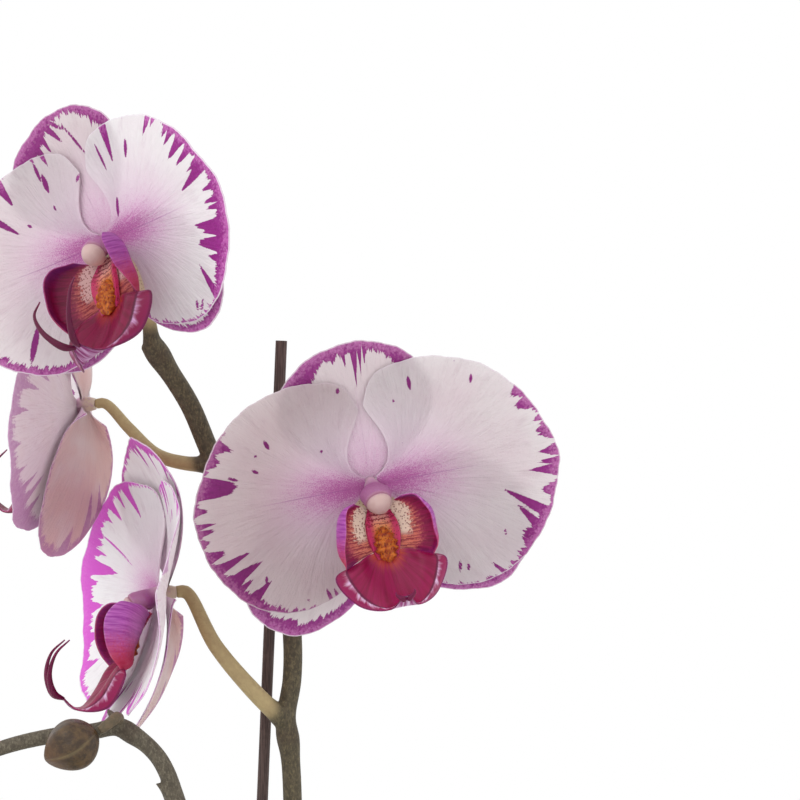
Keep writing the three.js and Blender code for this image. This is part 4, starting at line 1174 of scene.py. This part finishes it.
# Marks of the flat parts. band: the depth of the coloured margin by angle. flames: angle, depth, half
# width in degrees and, for a blunt end, how blunt. dashes: the angle and radius of both ends, the width
# and, for one that widens from its first end to its second, a 1.
marks = {
    (4, "petal_right"): dict(
        band=[(-80, 0.4), (-40, 1), (-30, 4.2), (-22, 3), (-14, 1), (-6, 0.4), (6, 0.5), (22, 0.6),
              (34, -0.6), (99, -1)],
        flames=[(25, 3.6, 2.4), (19.7, 4.8, 3), (13, 2.8, 1.2), (8, 3.8, 3), (0.8, 6, 1.8),
                (-2.7, 7, 1.2), (-5.7, 8.8, 2), (-12.7, 4, 3), (-29, 5.5, 3), (-47, 6, 0.9)],
        dashes=[(-14.2, 36.6, -21, 51, 4.4, 1), (-20.5, 41.6, -27, 51, 4.2, 1),
                (70.6, 32.8, 67.6, 28.8, 1.5), (43.2, 41.2, 40.7, 38.8, 1.2),
                (-31.6, 40, -34.1, 41.4, 1.1), (-55.6, 34, -59.6, 37.3, 1.3),
                (-53.6, 36.5, -56.6, 38.8, 1.3), (77.6, 25.3, 76.6, 24.4, 1.1)]),
    (4, "petal_left"): dict(
        band=[(-80, -1), (-56, 0.6), (-44, 2.4), (-30, 3.6), (-22, 2.6), (-13, 0.9), (-2, 0.4), (6, 0.9),
              (15, 0.7), (24, 1.4), (31, 1), (36, -0.6), (99, -1)],
        flames=[(27, 5.4, 2.6), (21, 3.6, 3.4), (11, 11.4, 4.2, 6), (2.8, 5.6, 1.4), (-2.7, 6.6, 1.2),
                (-5.4, 6.2, 1.4), (-9.2, 3.2, 1.4), (-15, 6.4, 2.2), (-20.4, 11.8, 2.1),
                (-27.3, 13, 2.7), (-31.4, 7, 1.8), (-37.6, 10, 2.1), (-62, 1.4, 1.2), (-55, 1.6, 1)],
        dashes=[(37.2, 32.6, 33.7, 29.8, 1.5), (28.2, 33.5, 27.5, 32.5, 1.1),
                (20.7, 33, 19.2, 30.8, 1.2), (15.6, 40.2, 14.4, 36.4, 1.1),
                (-34.6, 37.7, -37.1, 39.4, 1.3), (-65, 31.9, -72, 37.1, 1.4),
                (-69.5, 31.6, -74.5, 35.6, 1.4), (56.1, 16.3, 54.1, 15.6, 1.4),
                (87.5, 31.1, 86.5, 29.4, 1.4), (-58, 36.6, -59, 37.3, 1.0)]),
    (4, "dorsal_sepal"): dict(
        band=[(-78, 3), (-45, 4), (-30, 5), (-24, 5.8), (-18, 3.8), (-8, 2.8), (3, 3.6), (14, 3.6),
              (20, 5.4), (26, 7.6), (40, 7.6), (78, 3.4)],
        flames=[(16.3, 4.4, 2), (8.9, 5, 1.5), (3.3, 7.4, 1.2), (-1.5, 13.8, 1.5), (-4.6, 11, 1.2),
                (-7.2, 6.6, 1.3)],
        dashes=[]),
    (4, "lateral_sepal_right"): dict(
        band=[(-70, 2), (0, 3.6), (12, 6.5), (24, 8.5), (40, 6), (60, 3)],
        flames=[(30, 10, 2), (18, 9, 1.6), (6, 5, 1.6)],
        dashes=[]),
    (4, "lateral_sepal_left"): dict(
        band=[(-70, 2), (-30, 3.2), (0, 4), (15, 4.6), (37, 4), (60, 3)],
        flames=[(23, 6, 2), (10, 6, 1.4), (-12, 5, 1.6)],
        dashes=[]),
    (1, "petal_right"): dict(
        band=[(-85, 1.2), (-50, 0.9), (-43, 1), (-38, 2), (-31, 4.5), (-20, 5), (-9, 4.6), (0, 3.6),
              (9, 2.6), (18, 2), (28, 1.8), (35, 1), (40, -0.2), (65, -0.8), (99, -1)],
        flames=[(46.4, 6.7, 1.6), (43, 3, 1.4), (34.6, 4.7, 1.6), (31.4, 6.8, 1.6), (25.6, 10.1, 2.6),
                (19.9, 9.6, 2), (13.5, 7.1, 2), (2.6, 8, 1.8), (-2.6, 8.8, 1.5), (-5.4, 9, 1.3),
                (-12.4, 13.6, 3, 3.5), (-15.4, 11.6, 1.4), (-20.3, 12.6, 3.6, 3.5), (-26, 8, 2)],
        dashes=[(68.1, 22.3, 74.7, 33, 3.6, 1), (82.5, 27.8, 75.7, 19.6, 1.2),
                (57.8, 30.2, 55.4, 24.4, 1.6), (7.8, 31.6, 11.5, 44, 4.6, 1),
                (-31, 34.4, -41, 43.6, 4, 1), (-47.6, 35.9, -52.9, 38.2, 1.2),
                (-45.1, 38.2, -52.3, 39.5, 1.2), (62.8, 11.7, 55, 6, 1.4)]),
    (1, "petal_left"): dict(
        band=[(-85, 1.6), (-60, 2.4), (-40, 2.6), (-20, 2), (0, 1.4), (20, 1), (44, 1), (56, -0.5),
              (99, -1)],
        flames=[(76.4, 4, 1.4), (69.8, 3, 1.2)],
        dashes=[(43.3, 30.6, 50, 40, 4.4, 1), (27.8, 26.1, 35, 40, 4, 1), (69.6, 32.5, 65.9, 26.6, 1.6),
                (69.8, 28, 64.8, 22.4, 2.3), (99.4, 21.8, 94.4, 19.7, 1.2), (34.8, 24, 33.9, 22.5, 1.3),
                (60, 18.7, 57.7, 17.1, 1), (-31.8, 29.8, -41, 40, 2.4)]),
    (1, "dorsal_sepal"): dict(
        band=[(-78, 2.6), (-50, 4.6), (-33, 4.8), (-22, 3.4), (-13, 2.2), (-4, 2.4), (3, 2.8), (8, 4.4),
              (16, 6.6), (30, 9.4), (50, 9), (78, 6)],
        flames=[(10, 9.6, 2.2), (16, 11, 1.8), (22, 13.4, 2), (30, 13, 2), (5, 6, 1.4), (-27, 6.6, 1.6)],
        dashes=[(-1.3, 28.2, 6, 38, 3.6, 1), (2.9, 37.5, -6.3, 30.9, 1.5),
                (-4.3, 34.9, -20.7, 20.6, 1.2)]),
    (1, "lateral_sepal_right"): dict(
        band=[(-70, 3), (-20, 3), (0, 3.2), (18, 3.2), (31, 3.2), (44, 4), (60, 3)],
        flames=[(44, 6, 1.8), (37, 4.8, 1.2), (26, 4.4, 1.4), (12, 4.6, 1.6), (2, 4.8, 1.6),
                (-8, 4.6, 1.6)],
        dashes=[]),
    (2, "petal_right"): dict(
        band=[(-80, 2), (-50, 5), (-25, 7), (-8, 3.5), (10, 3), (25, 5), (45, 9), (70, 8), (99, 3)],
        flames=[(-40, 12, 3), (-30, 17, 3), (-22, 14, 2), (-12, 9, 1.6), (14, 9, 2), (26, 14, 2.4),
                (36, 18, 3.2), (48, 20, 3), (60, 15, 3), (0, 6, 2)],
        dashes=[(8, 30, 5, 36, 1.4), (-6, 26, -10, 31, 1.2)]),
    (2, "lateral_sepal_right"): dict(
        band=[(-70, 1), (-20, 1.5), (10, 3), (30, 3), (60, 2)],
        flames=[(14, 9, 3), (26, 16, 3), (36, 12, 2.4), (4, 5, 2)],
        dashes=[(16, 22, 8, 31, 3.4), (22, 18, 18, 24, 1.6)]),
    (3, "petal_left"): dict(
        band=[(-80, 0.6), (-40, 2), (-10, 4.2), (20, 4.6), (50, 3), (70, 1.5), (99, 0)],
        flames=[(63.6, 11, 3.4), (54, 8.6, 2.2), (42.7, 10.4, 3), (35.2, 7, 2.2), (30.2, 6, 1.8),
                (25.2, 7, 2), (21.2, 7, 1.8), (17.2, 9, 2), (10.2, 15.4, 3.6, 3), (3.8, 8, 2.4),
                (-6, 9, 3), (-18, 7, 2.4), (-30, 8, 2.4)],
        dashes=[(26.2, 44, 20.7, 22.8, 1.1)]),
}


inventForm = dict(
    petal=dict(spread=(-70, 88), flames=15, depth=1.2, dashes=5),
    sepal=dict(spread=(-55, 55), flames=8, depth=2.6, dashes=2))
markForm = dict(point=2.2, least=-6, dashLeast=-3.0, dashHalf=0.42, wedgeStart=0.1, wedgePower=0.8,
                pinch=0.8)


def inventedMarks(number, name, form):  # marks for the flat parts that the photo doesn't show from the front
    random = np.random.default_rng(100 * number + sum(map(ord, name)))
    angles = np.sort(random.uniform(*form["spread"], form["flames"]))
    flames = [(a, random.uniform(4, 11), random.uniform(1.2, 2.8)) for a in angles]
    band = [(a, form["depth"] * random.uniform(0.4, 1.6)) for a in np.linspace(-80, 99, 9)]
    dashes = []
    for _ in range(form["dashes"]):
        a, r = random.uniform(*form["spread"]), random.uniform(20, 34)
        dashes.append((a, r, a + random.uniform(-3, 3), r + random.uniform(2, 6), random.uniform(0.9, 1.5)))
    return dict(band=band, flames=flames, dashes=dashes)


def markField(marking, angle, depth):  # about how far inside a flame or band a point is
    field = smoothAt(marking["band"], angle) - depth
    for at, length, width, *blunt in marking["flames"]:
        taper = 1 - (np.abs(angle - at) / width) ** (blunt[0] if blunt else markForm["point"])
        field = np.maximum(field, np.where(taper > 0, length * taper - depth, field))
    return np.maximum(field, markForm["least"])


def polar(angle, radius):
    return radius * np.cos(np.radians(angle)), radius * np.sin(np.radians(angle))


def dashField(marking, angle, radius):  # the same for the dashes
    field = np.full(angle.shape, markForm["dashLeast"])
    x, y = polar(angle, radius)
    for a0, r0, a1, r1, width, *wedge in marking["dashes"]:
        start = np.array(polar(a0, r0))
        way = np.array(polar(a1, r1)) - start
        t = np.clip(((x - start[0]) * way[0] + (y - start[1]) * way[1]) / (way @ way), 0, 1)
        away = np.hypot(x - start[0] - t * way[0], y - start[1] - t * way[1])
        widening = markForm["wedgeStart"] + (1 - markForm["wedgeStart"]) * t ** markForm["wedgePower"]
        share = widening if wedge else 1 - markForm["pinch"] * (2 * t - 1) ** 2
        field = np.maximum(field, markForm["dashHalf"] * width * share - away)
    return field


def turnAbout(axis, degrees):  # a right-handed turn about x, y or z
    a, b = (axis + 1) % 3, (axis + 2) % 3
    turn = np.eye(3)
    turn[a, a] = turn[b, b] = math.cos(math.radians(degrees))
    turn[b, a] = math.sin(math.radians(degrees))
    turn[a, b] = -turn[b, a]
    return turn


def turnMatrix(bloom):  # columns are the bloom's right, top and outward ways
    upright = np.array([[1, 0, 0], [0, 0, -1], [0, 1, 0]])
    return upright @ turnAbout(1, bloom["yaw"]) @ turnAbout(0, bloom["pitch"]) @ turnAbout(2, bloom["roll"])


def placed(bloom, points):
    return points @ turnMatrix(bloom).T + np.array(bloom["at"])


def behind(bloom, distance):
    return placed(bloom, np.array([0, 0, -distance]))


flatForm = dict(
    thick=0.62, rim=0.3, wave=0.5, scallop=0.0035, sunk=1.1, finer=1.35, rowPower=0.9, narrowPower=1.6,
    scallops=(0.31, 0.73, 1.7), ripples=(0.12, 0.29), creaseWide=24, backGain=1.6, humpTop=50, humpFrom=-25,
    creamTo=32, creamFrom=14, shadeFrom=8, shadeTo=34, shadeLeast=0.3, shadeMore=0.8)
blushForm = dict(petal=16.5, sepal=16, sepalShare=0.62, power=1.5, fan=42, fanLeast=0.35, trail=0.5,
                 trailWide=26, trailFrom=40, trailTo=8)


def bendAt(bend, x, y):  # how far forward flat parts bend at a point, by curvatures per metre
    across = np.where(x > 0, bend["right"], bend["left"]) * x * x
    upright = np.where(y > 0, bend["up"], bend["down"]) * y * y
    corner = bend["rightBack"] * flatForm["backGain"] * x * x * y * y / (x * x + y * y + 1)
    hump = np.sin(np.pi * np.clip(y / flatForm["humpTop"], 0, 1)) * smoothStep(x, flatForm["humpFrom"], 0)
    return (across + upright - np.where(x > 0, corner, 0)) / 2000 - bend["bulge"] * hump


def blushOf(kind, angle, reach):  # how pink a point is towards the base
    near = np.exp(-((reach / blushForm[kind]) ** blushForm["power"]))
    if kind == "sepal":
        return blushForm["sepalShare"] * near
    least = blushForm["fanLeast"]
    fan = least + (1 - least) * np.exp(-((angle / blushForm["fan"]) ** 2))
    trail = blushForm["trail"] * np.exp(-((angle / blushForm["trailWide"]) ** 2))
    return near * fan + trail * smoothStep(reach, blushForm["trailFrom"], blushForm["trailTo"])


def flatPart(number, bloom, name):
    form = flatParts[name]
    kind = "petal" if name.startswith("petal") else "sepal"
    isFront, isLateral = number in (1, 4), "lateral" in name
    place = list(flatParts).index(name)
    size, axis, level, twist, shade = (
        bloom[key][place] for key in ("size", "axis", "level", "twist", "shade"))
    axis = math.radians(axis)
    seed = number * 7 + len(name)
    finer = flatForm["finer"] if isFront and not isLateral else 1
    rows, columns = int(form["rows"] * finer), int(form["columns"] * finer)
    u = np.linspace(0, 1, rows + 1)[:, None] ** flatForm["rowPower"]
    angle = np.linspace(form["reach"][0][0], form["reach"][-1][0], columns + 1)[None] + 0 * u
    s = np.linspace(-1, 1, columns + 1)[None]
    slow, brisk, quick = (angle * rate for rate in flatForm["scallops"])
    scallop = np.sin(slow + seed) + 0.6 * np.sin(brisk + 2 * seed) + 0.3 * np.sin(quick)
    rim = size * smoothAt(form["reach"], angle) * (1 + flatForm["scallop"] * scallop)
    reach = u * rim
    spread = np.radians(angle) * (1 - form["narrow"] * (1 - u) ** flatForm["narrowPower"])
    along = form["seat"] + reach * np.cos(spread) - flatForm["sunk"] * (1 - u) ** 6
    off = reach * np.sin(spread) + form["claw"] * s * (1 - u)
    across = form["side"] * off
    x = along * math.cos(axis) - across * math.sin(axis)
    y = along * math.sin(axis) + across * math.cos(axis)
    crease = form["fold"] * np.exp(-((angle / flatForm["creaseWide"]) ** 2)) * np.sin(math.pi * u**0.7)
    swing = twist * (twistEdge * size * u - across)
    long, short = (angle * rate for rate in flatForm["ripples"])
    ripple = flatForm["wave"] * u**4 * (np.sin(long + seed) + 0.5 * np.sin(short + 3 * seed))
    if kind == "sepal":
        ripple = ripple / 2
    z = level + bendAt(bloom["bend"], x, y) - crease - swing + ripple
    marking = marks.get((number, name)) or inventedMarks(number, name, inventForm[kind])
    markAngle = np.degrees(np.arctan2(off, along - markSeat))
    shading = smoothStep(reach, flatForm["shadeFrom"], flatForm["shadeTo"])
    fields = {
        "angle": angle, "radius": reach, "edge": rim - reach, "seed": reach * 0 + seed,
        "mark": markField(marking, markAngle, rim - reach),
        "dash": dashField(marking, markAngle, np.hypot(off, along - markSeat)),
        "blush": blushOf(kind, np.degrees(spread), reach),
        "cream": (isFront and isLateral) * smoothStep(reach, flatForm["creamTo"], flatForm["creamFrom"]),
        # painted shade, and painted light where negative, growing towards the tips
        "shade": shade * (flatForm["shadeLeast"] + flatForm["shadeMore"] * shading),
    }
    thick = flatForm["rim"] + (flatForm["thick"] - flatForm["rim"]) * (1 - u**5)
    grid = placed(bloom, np.stack([x, y, z], axis=-1))
    return faced(bladePart(grid, thick + 0 * reach, 0, fields), turnMatrix(bloom)[:, 2])


def faced(part, way):  # a blade whose field called back is 0 on the side that faces that way
    half = len(part["points"]) // 2
    if (part["points"][:half] - part["points"][half:]).mean(axis=0) @ way < 0:
        part["fields"]["back"] = 1 - part["fields"]["back"]
    return part


columnForm = dict(
    line=[(0, 0, -hubBack), (0, 0, 0), (0, -1.1, 2.6), (0, -2.5, 5.6), (0, -4, 8.5), (0, -5.7, 11.2)],
    radii=[(0, 1.8), (0.1, 2.2), (0.28, 2.2), (0.36, 2.4), (0.45, 2.9), (0.62, 3.75), (0.74, 4.1),
           (0.84, 3.7), (0.93, 2.7), (0.98, 1.5), (1, 0.3)],
    rows=90, sides=72, hollow=dict(at=0.68, wide=0.08, size=2.0), seam=dict(at=0.79, wide=0.014, size=0.45),
    wings=dict(at=0.56, wide=0.12, size=1.3))


def peak(t, feature):  # 1 where the feature is, falling off on both sides of it
    return np.exp(-(((t - feature["at"]) / feature["wide"]) ** 2))


def columnPart(bloom):  # the hub, bent down over the lip, with a hollow under its cap
    line = route(columnForm["line"], 0.25)
    t = np.linspace(0, 1, columnForm["rows"])
    pick = t * (len(line) - 1)
    line = np.stack([np.interp(pick, np.arange(len(line)), line[:, k]) for k in range(3)], axis=1)
    rings = tubeRings(line, smoothAt(columnForm["radii"], t), columnForm["sides"])
    under = np.cross(unit(np.gradient(line, axis=0)), (1, 0, 0))[:, None]
    under = unit(under * np.where(under[..., 1:2] < 0, 1, -1))
    way = unit(rings - rings.mean(axis=1, keepdims=True))
    facing = (way * under).sum(axis=-1, keepdims=True)
    hollow, seam, wings = (peak(t[:, None, None], columnForm[key]) for key in ("hollow", "seam", "wings"))
    inward = hollow * smoothStep(facing, 0.3, 0.9) * columnForm["hollow"]["size"]
    outwards = wings * np.abs(way[..., :1]) ** 3 * columnForm["wings"]["size"]
    rings = rings + way * (outwards - inward - columnForm["seam"]["size"] * seam)
    return turnedPart(placed(bloom, rings), 0, {"along": t[:, None], "seam": seam[..., 0]})


midLobe = [
    [(0, -19.5, 9.5), (0, -24.5, 13.5), (0, -30, 20), (0, -31.4, 26), (0, -27.5, 30)],
    [(0.9, -19.5, 9.6), (3.2, -24, 14), (5.4, -28.8, 20.5), (5.6, -31.6, 23.8), (4.4, -31.8, 26)],
    [(1.8, -19.3, 9.7), (5.2, -22, 12.5), (9.2, -25.4, 18), (11.4, -29, 18.6), (12, -31.6, 17.6)],
    [(2.6, -19, 9.8), (6.2, -20.2, 11.2), (9.8, -20.8, 14.6), (13.4, -22.2, 15), (17, -23.2, 12.8)],
    [(3.2, -18.4, 9.8), (6, -18.6, 10.6), (8, -19, 12), (9.8, -19.6, 13), (11.4, -20.2, 12.8)],
]
sideLobe = [
    [(2.8, -6.2, 3.6), (5.2, -4.8, 4.6), (6.9, -3.6, 6.2), (7.4, -2.8, 8.2)],
    [(3.6, -7.4, 4.8), (8.2, -5.6, 6.6), (11, -3.6, 9.6), (10.6, -2.4, 13.4)],
    [(4.2, -10, 6), (10.4, -8.4, 8.2), (14, -6.6, 12), (12.6, -5.8, 17)],
    [(4.4, -13, 7.4), (11, -12.8, 9.4), (15, -11.8, 13), (13.6, -11.4, 17.8)],
    [(4, -15.6, 8.6), (10.6, -16.6, 10.2), (14.8, -16.8, 13), (14.2, -16.8, 16.6)],
    [(3.2, -18.2, 9), (8.4, -19.8, 9.8), (12, -21, 11.4), (13.4, -21.4, 13.4)],
]
lipForm = dict(
    floor=[(-5.8, 2.9, 2.6, 0.3), (-8.4, 4.6, 4, 1), (-11, 6.3, 4.8, 1.6), (-15, 8.1, 4.9, 1.5),
           (-20.6, 10.6, 3.2, 0.5)],
    callus=[(0, -11.6, 7), (0, -15.4, 9.2), (0, -18.6, 11), (0, -21.4, 12.4)],
    callusRadii=[(0, 0.4), (0.08, 1.5), (0.35, 3.1), (0.65, 3.2), (0.92, 1.7), (1, 0.3)],
    callusHalf=3.2, cleft=0.26, cleftDeep=0.5, knobs=31, knobSize=0.16, callusFlat=(1, 0.72, 0.72),
    tendril=[(0.7, -28.5, 29), (2.2, -27, 31.6), (5.2, -21.5, 33), (7.4, -15.5, 31), (7.2, -12, 27)],
    tendrilRadii=[(0, 0.5), (0.14, 1), (0.35, 0.8), (0.65, 0.5), (1, 0.2)],
    foot=np.array((0, -5.8, 2.9)), thick=0.6, rim=0.32, rimWide=2, waves=9, floorThick=1.0)


def netPart(stations, nu, nv, finish, wave, innerWay):  # a lobe of the lip
    grid = net(stations, nu, nv)
    rise = np.linspace(0, 1, nu + 1)[:, None] + np.zeros((1, nv + 1))
    sweep = np.linspace(-1, 1, nv + 1)[None] + 0 * rise
    normal = unit(np.cross(np.gradient(grid, axis=0), np.gradient(grid, axis=1)))
    grid = grid + normal * (wave * rise**2 * np.sin(lipForm["waves"] * sweep + 2))[..., None]
    toRim, toLeft, toRight = (np.linalg.norm(grid - line, axis=-1) for line in (
        grid[-1:], grid[:, :1], grid[:, -1:]))
    side = np.minimum(toLeft, toRight)
    inside = smoothStep(np.minimum(toRim, side), 0, lipForm["rimWide"])
    thick = lipForm["rim"] + (lipForm["thick"] - lipForm["rim"]) * inside
    fields = {"rise": rise, "sweep": sweep, "edge": np.minimum(toRim, side + 4 * (1 - rise))}
    return faced(bladePart(grid, thick, finish, fields), np.array(innerWay))


def mirrored(stations):
    return [[(-x, y, z) for x, y, z in s] for s in stations]


def floorPart():  # the lip's narrow floor, whose sides rise
    stations = []
    for y, z, half, rise in lipForm["floor"]:
        stations.append([
            (s * half, y + 0.35 * rise * s * s, z + rise * s * s) for s in (-1, -0.5, 0, 0.5, 1)])
    bed = net(stations, 24, 40)
    rise = np.linspace(0, 1, 41)[None] + np.zeros((25, 1))
    sweep = np.linspace(-1, 1, 25)[:, None] + np.zeros((1, 41))
    return bladePart(bed, lipForm["floorThick"], 2, {"rise": rise, "sweep": sweep})


def callusPart():  # the knobbly ridge on the floor, cleft along its middle
    line = route(lipForm["callus"], 0.3)
    t = np.linspace(0, 1, len(line))
    rings = tubeRings(line, smoothAt(lipForm["callusRadii"], t), 40)
    t = t[:, None, None]
    centre = rings.mean(axis=1, keepdims=True)
    aside = (rings[..., :1] - centre[..., :1]) / lipForm["callusHalf"]
    cleft = np.exp(-((aside / lipForm["cleft"]) ** 2)) * smoothStep(t, 0.2, 0.95)
    knobs = 1 + lipForm["knobSize"] * np.sin(t * lipForm["knobs"]) * smoothStep(t, 0, 0.4)
    outwards = (rings - centre) * (1 - lipForm["cleftDeep"] * cleft) * knobs
    return turnedPart(centre + outwards * lipForm["callusFlat"], 3)


def tendrilPart(side, curl):  # one of the two threads at the lip's tip
    points = np.array(lipForm["tendril"])
    reach = points[0] + (points - points[0]) * curl
    reach[:, 0] = side * points[:, 0] * math.sqrt(curl)
    line = route(reach, 0.4)
    rings = tubeRings(line, smoothAt(lipForm["tendrilRadii"], np.linspace(0, 1, len(line))), 16)
    return turnedPart(rings, 0, {"rise": 0.6, "sweep": 0.0, "edge": 0.4})


def lipParts(bloom):
    middle = mirrored(midLobe[1:])[::-1] + midLobe
    parts = [netPart(middle, 32, 72, 0, 0.25, (0, 1, 0)), netPart(sideLobe, 28, 48, 1, 0.2, (-1, 0, 0)),
             netPart(mirrored(sideLobe), 28, 48, 1, 0.2, (1, 0, 0)), floorPart(), callusPart(),
             tendrilPart(-1, bloom["curl"]), tendrilPart(1, bloom["curl"])]
    foot = lipForm["foot"]
    for part in parts:
        part["points"] = placed(bloom, foot + (part["points"] - foot) * bloom["lip"])
        # painted shade for the whole lip
        part["fields"]["wine"] = np.full(len(part["points"]), bloom["wine"])
    return parts


def buildBloom(number, bloom):
    def finish(title, node, kind, parts, looks, sharpAngle):
        keep(makePiece(f"bloom{number}{title}", parts, looks, sharpAngle), kind, f"bloom_{number}_{node}")

    for name in flatParts:
        kind, look = ("petal", petalLook) if name.startswith("petal") else ("sepal", sepalLook)
        title = "".join(word.capitalize() for word in name.split("_"))
        finish(title, name, kind, [flatPart(number, bloom, name)], [look], 70)
    finish("Lip", "lip", "lip", lipParts(bloom), [middleLobeLook, sideLobeLook, throatLook, callusLook], 60)
    finish("Column", "column", "column", [columnPart(bloom)], [columnLook], 80)


buildPot()
buildBark()
buildCrown()
print("pot, bark mix and crown made")
for number, leaf in enumerate(leaves, 1):
    buildLeaf(number, leaf)
buildSpike()
buildSideSpike()
for number, bud in enumerate(buds, 1):
    buildBud(number, bud)
buildStake()
buildClip()
print("leaves, spikes, buds, stake and clip made")
for number, bloom in blooms.items():
    buildBloom(number, bloom)
print("blooms made")


# Floor, light and camera

studio = dict(
    floorRadius=2.2, floorSides=96, cameraAt=(42.4, -1300, 482.8), pixel=0.307, pixels=800, sensor=36,
    keyPower=5, keySize=0.9, keyAt=(-0.9, -1.1, 1.5), keyAim=(0, 0, 0.45), sky=1.0)


def paleSkin(name, colour, roughness):
    skin = Skin(name)
    grain = skin.noise(0.02, 3, 0.5)
    return skin.surface(skin.painted(colour, (grain * 0.1, 225, 225, 224)), roughness)


def buildStudio():
    angles = np.linspace(0, 2 * math.pi, studio["floorSides"], endpoint=False)
    edge = [(studio["floorRadius"] * math.cos(a), studio["floorRadius"] * math.sin(a), 0) for a in angles]
    mesh = bpy.data.meshes.new("floor")
    mesh.from_pydata(edge, [], [list(range(len(edge)))])
    mesh.materials.append(paleSkin("paleFloor", tint(236, 236, 235), 0.8))
    inScene("floor", mesh)
    world = bpy.data.worlds.new("studio")
    bpy.context.scene.world = world
    world.use_nodes = True
    setUp(world.node_tree.nodes["Background"], {"Color": (1, 1, 1, 1), "Strength": studio["sky"]})
    light = bpy.data.lights.new("key", "AREA")
    light.energy, light.size = studio["keyPower"], studio["keySize"]
    key = inScene("key", light)
    key.location = studio["keyAt"]
    key.rotation_euler = (Vector(studio["keyAim"]) - key.location).to_track_quat("-Z", "Y").to_euler()
    lens = bpy.data.cameras.new("camera")
    lens.sensor_width = studio["sensor"]
    lens.lens = studio["sensor"] * -studio["cameraAt"][1] / (studio["pixel"] * studio["pixels"])
    camera = inScene("camera", lens)
    camera.location = Vector(studio["cameraAt"]) * metresPerMillimetre
    camera.rotation_euler = (math.pi / 2, 0, 0)
    bpy.context.scene.camera = camera
    bpy.context.scene.view_settings.view_transform = "Standard"


buildStudio()
print("studio made")
